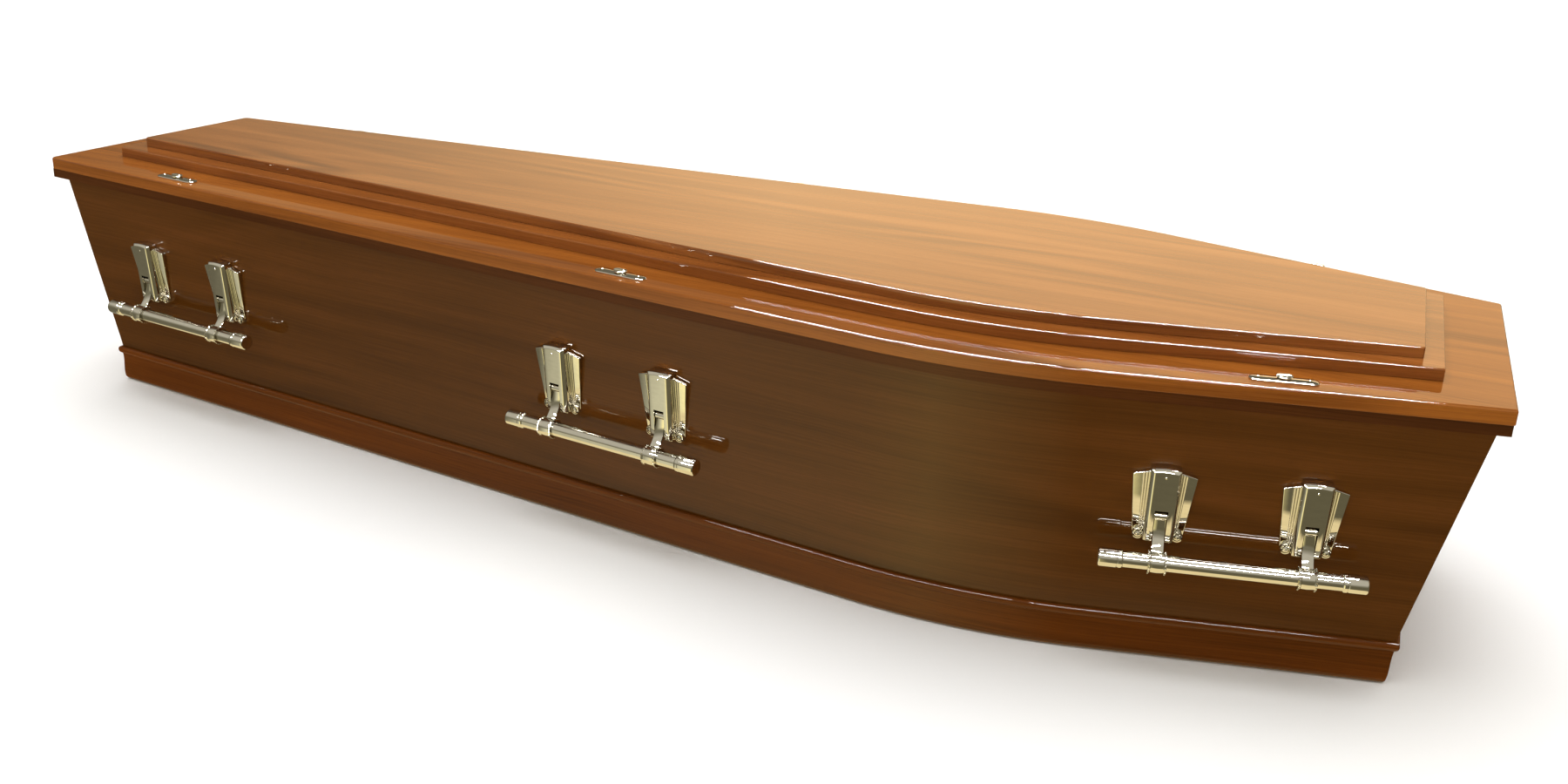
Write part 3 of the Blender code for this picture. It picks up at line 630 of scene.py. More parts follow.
def plating(finish):
    """Bright plating on a zinc casting.

    It mirrors the room, with the faint waves of the casting and a thin haze left by wiping."""
    if "bright_plating" in bpy.data.materials:
        return bpy.data.materials["bright_plating"]
    material, tree, shader = new_material("bright_plating")
    place = add(tree, "ShaderNodeTexCoord", out="Object")
    # haze in spots 11 mm long and 4 mm tall
    haze_at = add(tree, "ShaderNodeMapping", {"Vector": place, "Scale": (90.0, 90.0, 260.0)})
    haze = add(tree, "ShaderNodeTexNoise", {"Vector": haze_at, "Scale": 1.0, "Detail": 4.0})
    rough = add(tree, "ShaderNodeMapRange", (haze, 0.35, 0.7, 0.02, 0.06))
    dull = [share * 0.86 for share in finish.metal]
    tone = add(tree, "ShaderNodeMix", {0: haze, 6: (*finish.metal, 1.0), 7: (*dull, 1.0)},
               data_type="RGBA", out=2)
    # waves 6 mm apart, 0.01 mm high
    wave_at = add(tree, "ShaderNodeMapping", {"Vector": place, "Scale": (160.0, 160.0, 160.0)})
    wave = add(tree, "ShaderNodeTexNoise", {"Vector": wave_at, "Scale": 1.0, "Detail": 1.0})
    bump = add(tree, "ShaderNodeBump", {"Height": wave, "Distance": 0.00001, "Strength": 1.0})
    wire(shader, {"Base Color": tone, "Metallic": 1.0, "Roughness": rough, "Normal": bump})
    return material


def trim_tree():
    """Tree that sweeps a moulded section along a path and mitres its ends.

    The section has a round toe, a curve that falls back to the face and a bead on top. The path's end points
    carry "meets", the outward normal of the wall that they meet, and "meets_lean", that wall's overhang and
    lean."""
    if "trim_run" in bpy.data.node_groups:
        return bpy.data.node_groups["trim_run"]
    tree, source, outputs = new_tree("trim_run", {
        "Foot height": "Float", "Height": "Float", "Face": "Float", "Crown": "Float", "Bead height": "Float",
        "Toe": "Float", "Toe height": "Float", "Overhang": "Float", "Lean": "Float", "Box height": "Float",
        "Gap": "Float", "Material": "Material"})
    math_node = "ShaderNodeMath"
    vector_node = "ShaderNodeVectorMath"

    # section: half of the points go up the face and half come down the back
    count = 3 * BEAD_POINTS + 1
    circle = add(tree, "GeometryNodeCurvePrimitiveCircle", {"Resolution": 2 * count})
    index = add(tree, "GeometryNodeInputIndex")
    back = add(tree, math_node, (2.0 * count - 1, index), operation="SUBTRACT")
    nearer = add(tree, math_node, (index, back), operation="MINIMUM")
    share = add(tree, math_node, (nearer, count - 1.0), operation="DIVIDE")
    rises = []
    swings = []
    turns = []
    for number, arc in enumerate((math.pi / 2, math.pi, math.pi)):
        turn = add(tree, "ShaderNodeMapRange", (share, number / 3, (number + 1) / 3, 0.0, arc))
        cosine = add(tree, math_node, (turn,), operation="COSINE")
        rises.append(add(tree, math_node, (1.0, cosine), operation="SUBTRACT"))
        swings.append(add(tree, math_node, (turn,), operation="SINE"))
        turns.append(turn)
    middle = add(tree, math_node, (source["Height"], source["Toe height"]), operation="SUBTRACT")
    middle = add(tree, math_node, (middle, source["Bead height"]), operation="SUBTRACT")
    half_bead = add(tree, math_node, (source["Bead height"], 0.5), operation="MULTIPLY")
    level = add(tree, math_node, (rises[0], source["Toe height"], source["Foot height"]),
                operation="MULTIPLY_ADD")
    way_up = add(tree, math_node, (turns[1], math.pi), operation="DIVIDE")
    level = add(tree, math_node, (way_up, middle, level), operation="MULTIPLY_ADD")
    level = add(tree, math_node, (rises[2], half_bead, level), operation="MULTIPLY_ADD")
    left = add(tree, math_node, (rises[1], -0.5, 1.0), operation="MULTIPLY_ADD")
    toe = add(tree, math_node, (swings[0], left), operation="MULTIPLY")
    front = add(tree, math_node, (toe, source["Toe"], source["Face"]), operation="MULTIPLY_ADD")
    front = add(tree, math_node, (swings[2], source["Crown"], front), operation="MULTIPLY_ADD")
    is_front = add(tree, math_node, (index, count - 0.5), operation="LESS_THAN")
    out = add(tree, "ShaderNodeMix", {0: is_front, 2: source["Gap"], 3: front}, data_type="FLOAT")
    upright = add(tree, math_node, (level, source["Box height"]), operation="DIVIDE")
    lean = add(tree, math_node, (1.0, upright), operation="SUBTRACT")
    inset = add(tree, math_node, (source["Lean"], lean, source["Overhang"]), operation="MULTIPLY_ADD")
    aside = add(tree, math_node, (out, inset), operation="SUBTRACT")
    down = add(tree, math_node, (level, -1.0), operation="MULTIPLY")
    place = add(tree, "ShaderNodeCombineXYZ", (aside, down))
    section = add(tree, "GeometryNodeSetPosition", {"Geometry": circle, "Position": place})

    # what the mitre needs rides on the points of the section and of the path, which is the lid's edge
    path = add(tree, "GeometryNodeMeshToCurve", {"Mesh": source["Geometry"]})
    path = add(tree, "GeometryNodeSetCurveNormal", {"Curve": path}, mode="Z_UP")
    tangent = add(tree, "GeometryNodeInputTangent")
    here = add(tree, "GeometryNodeInputPosition")
    curves = {"section": section, "path": path}
    for curve, name, kind, value in (("section", "out", "FLOAT", out), ("section", "lean", "FLOAT", lean),
                                     ("path", "along", "FLOAT_VECTOR", tangent),
                                     ("path", "corner", "FLOAT_VECTOR", here)):
        curves[curve] = add(tree, "GeometryNodeStoreNamedAttribute",
                            {"Geometry": curves[curve], "Name": name, "Value": value},
                            data_type=kind, domain="POINT")
    run = add(tree, "GeometryNodeCurveToMesh", {"Curve": curves["path"], "Profile Curve": curves["section"],
                                                "Fill Caps": True})

    # mitre: slide each end along the run to the plane of the wall that it meets
    known = {}
    for name, kind in (("meets", "FLOAT_VECTOR"), ("meets_lean", "FLOAT_VECTOR"), ("along", "FLOAT_VECTOR"),
                       ("corner", "FLOAT_VECTOR"), ("out", "FLOAT"), ("lean", "FLOAT")):
        known[name] = add(tree, "GeometryNodeInputNamedAttribute", {"Name": name}, data_type=kind)
    away = add(tree, vector_node, (here, known["corner"]), operation="SUBTRACT")
    overhang, raked = add(tree, "ShaderNodeSeparateXYZ", (known["meets_lean"],)).node.outputs[:2]
    other = add(tree, math_node, (raked, known["lean"], overhang), operation="MULTIPLY_ADD")
    wanted = add(tree, math_node, (known["out"], other), operation="SUBTRACT")
    wanted = add(tree, math_node, (wanted, source["Gap"]), operation="SUBTRACT")
    reached = add(tree, vector_node, (away, known["meets"]), operation="DOT_PRODUCT", out="Value")
    missing = add(tree, math_node, (wanted, reached), operation="SUBTRACT")
    pace = add(tree, vector_node, (known["along"], known["meets"]), operation="DOT_PRODUCT", out="Value")
    slide = add(tree, math_node, (missing, pace), operation="DIVIDE")
    offset = add(tree, vector_node, {0: known["along"], "Scale": slide}, operation="SCALE")
    at_end = add(tree, vector_node, (known["meets"],), operation="LENGTH", out="Value")
    chosen = add(tree, math_node, (at_end, 0.5), operation="GREATER_THAN")
    run = add(tree, "GeometryNodeSetPosition", {"Geometry": run, "Selection": chosen, "Offset": offset})
    end_tree(tree, source, outputs, run)
    return tree


def trim_run(plan, run, values):
    """One length of a trim round the box, as a plain mesh. run is left, right, head or foot."""
    side = (plan.side_overhang, plan.side_rake)
    head = (plan.head_overhang, plan.head_rake)
    foot = (plan.foot_overhang, plan.foot_rake)
    if values["Lean"] == 0:
        side = head = foot = (values["Overhang"], 0)
    path = side_path(plan, 0, 0, 0)
    if run in SIDES:
        points = [(point.x, SIDES[run] * point.y, 0) for point in path]
        ends = [((-1, 0, 0), foot), ((1, 0, 0), head)]
        own = side
    else:
        corner, inner = (path[-1], path[-2]) if ENDS[run] > 0 else (path[0], path[1])
        points = [(corner.x, -corner.y, 0), (corner.x, corner.y, 0)]
        edge = (corner - inner).normalized()
        normal_x = ENDS[run] * abs(edge.y)
        ends = [((normal_x, sign * abs(edge.x), 0), side) for sign in (-1, 1)]
        own = head if run == "head" else foot
    if run in ("right", "foot"):
        points.reverse()
        ends.reverse()
    mesh = bpy.data.meshes.new("path")
    mesh.from_pydata(points, [(number, number + 1) for number in range(len(points) - 1)], [])
    meets = mesh.attributes.new("meets", "FLOAT_VECTOR", "POINT")
    lean = mesh.attributes.new("meets_lean", "FLOAT_VECTOR", "POINT")
    for number, (normal, wall) in ((0, ends[0]), (len(points) - 1, ends[1])):
        meets.data[number].vector = normal
        lean.data[number].vector = (*wall, 0)
    values = {**values, "Overhang": own[0], "Lean": own[1], "Box height": plan.box_height, "Gap": GAP}
    made = close_mesh(run_tree(trim_tree(), mesh, values))
    for extra in ("meets", "meets_lean", "along", "corner", "out", "lean"):
        if extra in made.attributes:
            made.attributes.remove(made.attributes[extra])
    return soften(made)


def fitting_tree():
    """Tree that sets a fitting on every point, turned as the point's "turn" says."""
    if "set_out_fittings" in bpy.data.node_groups:
        return bpy.data.node_groups["set_out_fittings"]
    tree, source, outputs = new_tree("set_out_fittings", {"Fitting": "Object", "Material": "Material"})
    fitting = add(tree, "GeometryNodeObjectInfo", {"Object": source["Fitting"]}, out="Geometry")
    turn = add(tree, "GeometryNodeInputNamedAttribute", {"Name": "turn"}, data_type="FLOAT_VECTOR")
    rotation = add(tree, "FunctionNodeEulerToRotation", {0: turn})
    set_out = add(tree, "GeometryNodeInstanceOnPoints",
                  {"Points": source["Geometry"], "Instance": fitting, "Rotation": rotation})
    end_tree(tree, source, outputs, set_out)
    return tree


def set_out(shape, frames, material):
    """Copies of a shape at every frame, in one plain mesh."""
    mesh = bpy.data.meshes.new("places")
    mesh.from_pydata([tuple(place.translation) for place in frames], [], [])
    turn = mesh.attributes.new("turn", "FLOAT_VECTOR", "POINT")
    for number, place in enumerate(frames):
        turn.data[number].vector = place.to_euler("XYZ")
    fitting = hold("fitting", shape)
    made = run_tree(fitting_tree(), mesh, {"Fitting": fitting, "Material": material})
    bpy.data.objects.remove(fitting)
    return made


def fan_tree():
    """Tree that lays tapered pleats side by side between two lines, as in a fan, and mirrors them."""
    if "fan_pleats" in bpy.data.node_groups:
        return bpy.data.node_groups["fan_pleats"]
    tree, source, outputs = new_tree("fan_pleats", {
        "Pleats": "Int", "Inner top": "Float", "Outer top": "Float", "Inner foot": "Float",
        "Outer foot": "Float", "Top": "Float", "Slant": "Float", "Foot": "Float", "Level": "Float",
        "Radius": "Float", "Material": "Material"})
    math_node = "ShaderNodeMath"
    line = add(tree, "GeometryNodeMeshLine", {"Count": source["Pleats"]})
    index = add(tree, "GeometryNodeInputIndex")
    middle = add(tree, math_node, (index, 0.5), operation="ADD")
    share = add(tree, math_node, (middle, source["Pleats"]), operation="DIVIDE")
    top_x = add(tree, "ShaderNodeMapRange", {0: share, 3: source["Inner top"], 4: source["Outer top"]})
    foot_x = add(tree, "ShaderNodeMapRange", {0: share, 3: source["Inner foot"], 4: source["Outer foot"]})
    fall = add(tree, math_node, (share, source["Slant"]), operation="MULTIPLY")
    top_y = add(tree, math_node, (source["Top"], fall), operation="SUBTRACT")
    length = add(tree, math_node, (top_y, source["Foot"]), operation="SUBTRACT")
    spread = add(tree, math_node, (foot_x, top_x), operation="SUBTRACT")
    lean = add(tree, math_node, (spread, length), operation="ARCTAN2")
    place = add(tree, "ShaderNodeCombineXYZ", (foot_x, source["Foot"], source["Level"]))
    points = add(tree, "GeometryNodeSetPosition", {"Geometry": line, "Position": place})
    # a pleat narrows to 0.62 of its width at its foot
    cone = add(tree, "GeometryNodeMeshCone", {"Vertices": 12, "Radius Top": 1.0, "Radius Bottom": 0.62,
                                              "Depth": 1.0})
    laid = add(tree, "GeometryNodeTransform", {"Geometry": cone, "Rotation": (-math.pi / 2, 0, 0)})
    scale = add(tree, "ShaderNodeCombineXYZ", (source["Radius"], length, source["Radius"]))
    angle = add(tree, "ShaderNodeCombineXYZ", {2: lean})
    turn = add(tree, "FunctionNodeEulerToRotation", (angle,))
    pleats = add(tree, "GeometryNodeInstanceOnPoints", {"Points": points, "Instance": laid, "Rotation": turn,
                                                        "Scale": scale})
    real = add(tree, "GeometryNodeRealizeInstances", (pleats,))
    mirrored = add(tree, "GeometryNodeTransform", {"Geometry": real, "Scale": (-1, 1, 1)})
    outward = add(tree, "GeometryNodeFlipFaces", {"Mesh": mirrored})
    both = add(tree, "GeometryNodeJoinGeometry")
    for half in (real, outward):
        tree.links.new(half, both.node.inputs[0])
    end_tree(tree, source, outputs, both)
    return tree


def bead_tree():
    """Tree that strings beads round a ring about X."""
    if "bead_ring" in bpy.data.node_groups:
        return bpy.data.node_groups["bead_ring"]
    tree, source, outputs = new_tree("bead_ring", {
        "Beads": "Int", "Ring radius": "Float", "Bead radius": "Float", "Material": "Material"})
    ring = add(tree, "GeometryNodeMeshCircle", {"Vertices": source["Beads"],
                                                "Radius": source["Ring radius"]})
    bead = add(tree, "GeometryNodeMeshUVSphere", {"Segments": 8, "Rings": 5,
                                                  "Radius": source["Bead radius"]})
    strung = add(tree, "GeometryNodeInstanceOnPoints", {"Points": ring, "Instance": bead})
    upright = add(tree, "GeometryNodeTransform", {"Geometry": strung, "Rotation": (0, math.pi / 2, 0)})
    end_tree(tree, source, outputs, upright)
    return tree


class COFFIN_OT_box(bpy.types.Operator):
    """Make the floor board and the four walls"""
    bl_idname = "coffin.make_box"
    bl_label = "Box"

    def execute(self, context):
        plan = context.scene.coffin_plan
        # the walls' veneer carries painted shade in its darker tones
        wood = box_wood(context.scene.coffin_finish)
        corners = ((0, 0), (plan.box_height, 0), (plan.box_height, plan.wall), (0, plan.wall))
        for name, side in SIDES.items():
            rows = []
            for height, depth in corners:
                inset, head, foot = wall_insets(plan, height)
                path = side_path(plan, inset + depth, head, foot)
                rows.append([(point.x, side * point.y, height) for point in path])
            mesh = swept(rows)
            lay_veneer(mesh, (0.0, 0.31 + 0.77 * side))
            put("veneered_wall_" + name, mesh, BODY, wood, ["side_board_" + name])
        for name, end in ENDS.items():
            rows = []
            for height, depth in corners:
                side, head, foot = wall_insets(plan, height)
                path = side_path(plan, side + plan.wall, head + depth, foot + depth)
                corner = path[-1] if end > 0 else path[0]
                half = corner.y - GAP
                rows.append([(corner.x, -half, height), (corner.x, half, height)])
            mesh = swept(rows)
            lay_veneer(mesh, (2.3, 0.4 + 0.9 * end))
            put("veneered_wall_" + name, mesh, BODY, wood, [name + "_board"])
        rings = []
        for height in (0, plan.floor):
            side, head, foot = (inset + plan.wall + GAP for inset in wall_insets(plan, height))
            rings.append([(x, y, height) for x, y in outline(plan, side, head, foot)])
        mesh = stacked(rings)
        lay_veneer(mesh, (4.0, 0.0))
        put("box_floor", mesh, BODY, wood, ["floor_board"])
        return {"FINISHED"}


class COFFIN_OT_moulding(bpy.types.Operator):
    """Make the beaded moulding round the foot of the box"""
    bl_idname = "coffin.make_moulding"
    bl_label = "Base moulding"

    def execute(self, context):
        plan = context.scene.coffin_plan
        sizes = context.scene.coffin_moulding
        # the moulding's wood carries painted shade in its dark tones
        wood = trim_wood(context.scene.coffin_finish)
        values = {"Foot height": 0.0, "Height": sizes.height, "Face": sizes.face,
                  "Crown": sizes.bead_out - sizes.face, "Bead height": sizes.bead_height,
                  "Toe": sizes.toe_out - sizes.face, "Toe height": sizes.toe_height,
                  "Overhang": plan.side_overhang, "Lean": plan.side_rake, "Material": wood}
        for number, run in enumerate((*SIDES, *ENDS)):
            mesh = trim_run(plan, run, values)
            lay_veneer(mesh, (0.7 * number, 0.11 * number))
            put("base_trim_" + run, mesh, BODY, wood, ["base_moulding_" + run])
        return {"FINISHED"}


class COFFIN_OT_lid(bpy.types.Operator):
    """Make the lid board, its two tiers and the strip under it"""
    bl_idname = "coffin.make_lid"
    bl_label = "Lid"

    def execute(self, context):
        plan = context.scene.coffin_plan
        sizes = context.scene.coffin_lid
        board = lid_wood(context.scene.coffin_finish)
        tier = tier_wood(context.scene.coffin_finish)
        # the strip's wood carries painted shade
        trim = strip_wood(context.scene.coffin_finish)
        boards = (
            ("lid_top_board", "lid_board", "lid_veneer", board, LID,
             (0, 0), sizes.edge, sizes.under_edge, 0.0),
            ("lid_step_lower", "lid_lower_tier", "tier_veneer", tier, LOWER,
             (sizes.lower_margin, sizes.lower_end), sizes.tier_edge, 0, 0.63),
            ("lid_step_upper", "lid_upper_tier", "tier_veneer", tier, UPPER,
             (sizes.upper_margin, sizes.upper_end), sizes.tier_edge, 0, 1.37))
        for name, node, slot, wood, box, (side, end), over, under, shift in boards:
            levels = []
            if under:
                for step in range(ROUND_STEPS + 1):
                    turn = math.pi / 2 * step / ROUND_STEPS
                    levels.append((under * (1 - math.sin(turn)), box[0].z + under * (1 - math.cos(turn))))
            else:
                levels.append((0, box[0].z))
            for step in range(ROUND_STEPS + 1):
                turn = math.pi / 2 * step / ROUND_STEPS
                levels.append((over * (1 - math.cos(turn)), box[1].z - over * (1 - math.sin(turn))))
            rings = []
            for inset, height in levels:
                corners = [max(radius - inset, GAP) for radius in (sizes.head_round, sizes.foot_round)]
                ring = outline(plan, side + inset, end + inset, end + inset, *corners)
                rings.append([(x, y, height) for x, y in ring])
            mesh = stacked(rings)
            lay_veneer(mesh, (shift, shift / 3))
            put(name, mesh, BODY, wood, [node])
        values = {"Foot height": plan.box_height - sizes.strip_height, "Height": sizes.strip_height,
                  "Face": plan.side_overhang - sizes.strip_setback, "Crown": 0.0,
                  "Bead height": sizes.strip_height / 3, "Toe": 0.0, "Toe height": sizes.strip_height / 3,
                  "Overhang": plan.side_overhang, "Lean": 0.0, "Material": trim}
        for number, run in enumerate((*SIDES, *ENDS)):
            mesh = trim_run(plan, run, values)
            lay_veneer(mesh, (0.5 * number, 0.3))
            put("under_lid_strip_" + run, mesh, BODY, trim, ["lid_strip_" + run])
        return {"FINISHED"}


class COFFIN_OT_screws(bpy.types.Operator):
    """Make the six lid screws and their plates"""
    bl_idname = "coffin.make_screws"
    bl_label = "Lid screws"

    def execute(self, context):
        plan = context.scene.coffin_plan
        sizes = context.scene.coffin_screws
        metal = plating(context.scene.coffin_finish)
        places = places_along(plan, sizes.from_head, sizes.from_foot)
        tags = [tag for tag, side, x in places]
        frames = [lid_frame(plan, x, side) for tag, side, x in places]
        clear = Matrix.Translation((0, 0, GAP))
        plates = set_out(screw_plate(sizes), [place @ clear for place in frames], metal)
        put("lid_screw_plates", plates, BODY, metal, ["screw_plate_" + tag for tag in tags])
        seat = Matrix.Translation((0, 0, sizes.plate_thickness + 2 * GAP))
        screws = set_out(thumb_screw(sizes), [place @ seat for place in frames], metal)
        put("lid_thumb_screws", screws, BODY, metal, ["thumb_screw_" + tag for tag in tags])
        return {"FINISHED"}


def screw_plate(sizes):
    """Long domed plate with round ends and a small pin near each end."""
    radius = sizes.plate_width / 2
    straight = sizes.plate_length / 2 - radius
    top = sizes.plate_thickness
    # how far each ring of the dome is in, as a share of the radius, and how high, as a share of the top
    levels = ((0.0, 0.0), (0.0, 0.35), (0.05, 0.55), (0.18, 0.75), (0.4, 0.9), (0.7, 0.98), (0.86, 1.0))
    steps = 2 * ROUND_STEPS
    rings = []
    for share, rise in levels:
        inner = radius - radius * share
        ring = []
        for end in (1, -1):
            for step in range(steps + 1):
                angle = math.pi * (step / steps - 0.5)
                x = (straight + inner * math.cos(angle)) * end
                ring.append((x, inner * math.sin(angle) * end, top * rise))
        rings.append(ring)
    shank = turned([(sizes.shank_radius + GAP, -top), (sizes.shank_radius + GAP, 2 * top)])
    plate = cut(stacked(rings), [shank])
    pin = turned([(0.0017, 0), (0.0017, 0.0004), (0.0013, 0.0008), (0.0006, 0.001)])
    from_end = 0.001
    pins = [(pin, Matrix.Translation((end * (straight - from_end), 0, top - SEAT))) for end in (-1, 1)]
    return joined([(plate, Matrix.Identity(4)), *pins])


def thumb_screw(sizes):
    """Round head with an upright two-lobed wing, its seat at z = 0 and its shank below."""
    radius = sizes.head_radius
    top = sizes.head_height
    head = turned([(radius * wide, top * rise) for wide, rise in (
        (0.9, 0), (1, 0.2), (1, 0.45), (0.94, 0.7), (0.8, 0.88), (0.5, 1))])
    # the wing dips to 0.84 of its height between its lobes
    points = []
    steps = 24
    for step in range(steps + 1):
        angle = math.pi * step / steps
        lobe = 0.84 + 0.16 * abs(math.cos(angle))
        height = sizes.wing_height * lobe * math.sin(angle) ** 0.5
        points.append((sizes.wing_length / 2 * math.cos(angle), height + top / 2))
    half = sizes.wing_thickness / 2
    wing = prism(points, -half, half, rounding=sizes.wing_thickness * 0.36, segments=4)
    depth = sizes.plate_thickness + GAP + LID[1].z - LID[0].z + sizes.grip
    sunk = 0.0006
    taper = 0.003
    shank = turned([(sizes.shank_radius * 0.3, sunk - depth), (sizes.shank_radius, taper - depth),
                    (sizes.shank_radius, sunk)])
    upright = Matrix.Rotation(math.pi / 2, 4, "X")
    level = Matrix.Identity(4)
    return joined([(head, level), (wing, upright), (shank, level)])


def handle_frames(plan, sizes):
    """The frame on the wall behind each handle's pin, by side and place."""
    return {tag: wall_frame(plan, x, sizes.pin_height, side)
            for tag, side, x in places_along(plan, sizes.from_head, sizes.from_foot)}


def both_plates(sizes):
    """The two places of a handle's plates and arms along its bar."""
    return [Matrix.Translation((offset * sizes.plate_spacing / 2, 0, 0)) for offset in (-1, 1)]


def fan_plate(sizes, metal):
    """Back plate: a raised panel with sloped flanks on a pleated fan, with a scroll at each foot."""
    slot_half = sizes.arm_width / 2 + ARM_PLAY
    groove_half = sizes.pin_radius + HINGE_PLAY
    groove_end = sizes.arm_width / 2 + PIN_REACH + HINGE_PLAY
    slot = prism(rectangle(slot_half, SLOT_FOOT, SLOT_TOP), -THROUGH, THROUGH)
    groove = prism(rectangle(groove_end, -groove_half, groove_half), -THROUGH, sizes.pin_out + groove_half)
    half = sizes.panel_half
    top = []
    steps = 8
    for step in range(steps + 1):
        x = half * (1 - 2 * step / steps)
        top.append((x, sizes.panel_top + sizes.panel_dome * (1 - (x / half) ** 2)))
    base = [(-half, -sizes.panel_bottom), (half, -sizes.panel_bottom), *top]
    flank = sizes.panel_flank
    # the flank is narrower over the top than at the sides, and narrowest over the foot
    front = []
    for x, y in base:
        front_y = y - flank * 0.8 if y > 0 else y + flank * 0.5
        front.append((x * (half - flank) / half, front_y))
    thickness = sizes.panel_thickness
    levels = ((base, 0), (base, thickness - flank), (front, thickness))
    panel = stacked([[(x, y, height) for x, y in ring] for ring, height in levels])
    panel = cut(rounded(panel, width=0.0009, segments=3), [slot, groove])
    bottom = sizes.panel_bottom - sizes.scroll_radius / 2
    corner_drop = 0.0035
    middle_rise = 0.0013
    leaf_points = [(sizes.leaf_bottom_half, -bottom), (sizes.leaf_top_half, sizes.leaf_top - corner_drop),
                   (sizes.panel_half, sizes.leaf_top + middle_rise)]
    leaf_points += [(-x, y) for x, y in reversed(leaf_points)]
    leaf = prism(leaf_points, 0, sizes.leaf_thickness, rounding=0.0008, segments=3)
    for vertex in leaf.vertices:
        if vertex.co.z > sizes.leaf_thickness / 2:
            vertex.co.z += sizes.leaf_tilt * vertex.co.y
    leaf = cut(leaf, [slot, groove])
    tuck = 0.001
    foot_share = 0.6
    over_leaf = 0.0006
    slant = 0.0021
    pleats = run_tree(fan_tree(), bpy.data.meshes.new("start"), {
        "Pleats": sizes.pleats, "Inner top": half - tuck, "Outer top": half + sizes.pleats_wide,
        "Inner foot": half - tuck, "Outer foot": half + sizes.pleats_wide * foot_share,
        "Top": sizes.leaf_top + over_leaf, "Slant": slant, "Foot": tuck - bottom,
        "Level": sizes.leaf_thickness, "Radius": sizes.pleat_radius, "Material": metal})
    for vertex in pleats.vertices:
        vertex.co.z += sizes.leaf_tilt * vertex.co.y
    soften(pleats)
    shell = turned([(sizes.scroll_radius, 0), (sizes.scroll_radius, 0.0048), (0.0055, 0.0058),
                    (0.0046, 0.0060), (0.0042, 0.0052), (0.0036, 0.0052), (0.0032, 0.0066),
                    (0.0022, 0.0074), (0.0009, sizes.scroll_thickness)])
    dot = turned([(0.0012, 0), (0.0012, 0.0004), (0.0008, 0.0008), (0.0003, 0.0009)])
    dot_drop = 0.0075
    dot_seat = 0.0002
    level = Matrix.Identity(4)
    parts = [(panel, level), (leaf, level), (pleats, level),
             (dot, Matrix.Translation((0, sizes.panel_top - dot_drop, thickness - dot_seat)))]
    for side in (-1, 1):
        x = side * (sizes.leaf_bottom_half - sizes.scroll_radius)
        parts.append((shell, Matrix.Translation((x, -bottom, 0))))
    return joined(parts)


class COFFIN_OT_plates(bpy.types.Operator):
    """Make the twelve fan-shaped back plates of the handles"""
    bl_idname = "coffin.make_plates"
    bl_label = "Handle back plates"

    def execute(self, context):
        plan = context.scene.coffin_plan
        sizes = context.scene.coffin_handles
        metal = plating(context.scene.coffin_finish)
        frames = []
        nodes = []
        for tag, wall in handle_frames(plan, sizes).items():
            for number, offset in enumerate(both_plates(sizes), 1):
                frames.append(wall @ offset @ Matrix.Translation((0, 0, GAP)))
                nodes.append(f"handle_plate_{tag}_{number}")
        mesh = set_out(fan_plate(sizes, metal), frames, metal)
        put("handle_fan_plates", mesh, BODY, metal, nodes)
        return {"FINISHED"}


def strap(sizes):
    """Strap of an arm, bent in an S from the pin to the bar, in its place beside the pin."""
    reach = sizes.bar_out - sizes.pin_out
    # shares of the way out and of the way down, at the four points that steer the curve
    bends = ((0, 0), (0.15, 0.42), (0.32, 0.62), (0.78, 0.80))
    controls = [Vector((out * reach, -down * sizes.bar_drop)) for out, down in bends]
    legs = [after - before for before, after in zip(controls, controls[1:])]
    edges = ([], [])
    steps = 16
    for step in range(steps + 1):
        t = step / steps
        shares = ((1 - t) ** 3, 3 * t * (1 - t) ** 2, 3 * t ** 2 * (1 - t), t ** 3)
        slopes = ((1 - t) ** 2, 2 * t * (1 - t), t ** 2)
        place = sum((point * share for point, share in zip(controls, shares)), Vector((0, 0)))
        along = sum((leg * slope for leg, slope in zip(legs, slopes)), Vector((0, 0))).normalized()
        across = Vector((along.y, -along.x)) * sizes.arm_thickness / 2
        edges[0].append(place + across)
        edges[1].append(place - across)
    points = [tuple(point) for point in edges[0] + edges[1][::-1]]
    half = sizes.arm_width / 2
    mesh = prism(points, -half, half, rounding=0.0006)
    mesh.transform(Matrix.Rotation(-math.pi / 2, 4, "Y"))
    return mesh


def handle_arm(sizes, metal):
    """Arm with its hub, pin and beaded collar. The origin is on the pin's axis."""
    across = Matrix.Rotation(math.pi / 2, 4, "Y")
    bar = Matrix.Translation((0, -sizes.bar_drop, sizes.bar_out - sizes.pin_out))
    half = sizes.arm_width / 2
    hub_radius = 0.0045
    hub_rim = 0.0040
    proud = 0.0003
    hub = turned([(hub_rim, -half - proud), (hub_radius, -half + proud), (hub_radius, half - proud),
                  (hub_rim, half + proud)])
    reach = half + PIN_REACH
    pin = turned([(sizes.pin_radius, -reach), (sizes.pin_radius, reach)])
    wide = sizes.collar_width / 2
    radius = sizes.collar_radius
    inner = sizes.bar_radius + GAP
    rim = 0.0018
    neck = 0.0028
    collar = turned([(inner, -wide), (radius * 0.93, -wide), (radius * 0.95, rim - wide),
                     (radius * 0.88, neck - wide), (radius * 0.90, -wide * 0.4), (radius * 0.915, 0),
                     (radius * 0.90, wide * 0.4), (radius * 0.88, wide - neck),
                     (radius * 0.95, wide - rim), (radius * 0.93, wide), (inner, wide)], capped=False)
    bead = 0.0008
    beads = run_tree(bead_tree(), bpy.data.meshes.new("start"),
                     {"Beads": sizes.collar_beads, "Ring radius": radius - bead, "Bead radius": bead,
                      "Material": metal})
    soften(beads)
    parts = [(strap(sizes), Matrix.Identity(4)), (hub, across), (pin, across), (collar, bar @ across)]
    for end in (-1, 1):
        parts.append((beads, bar @ Matrix.Translation((end * (wide - bead), 0, 0))))
    return joined(parts)


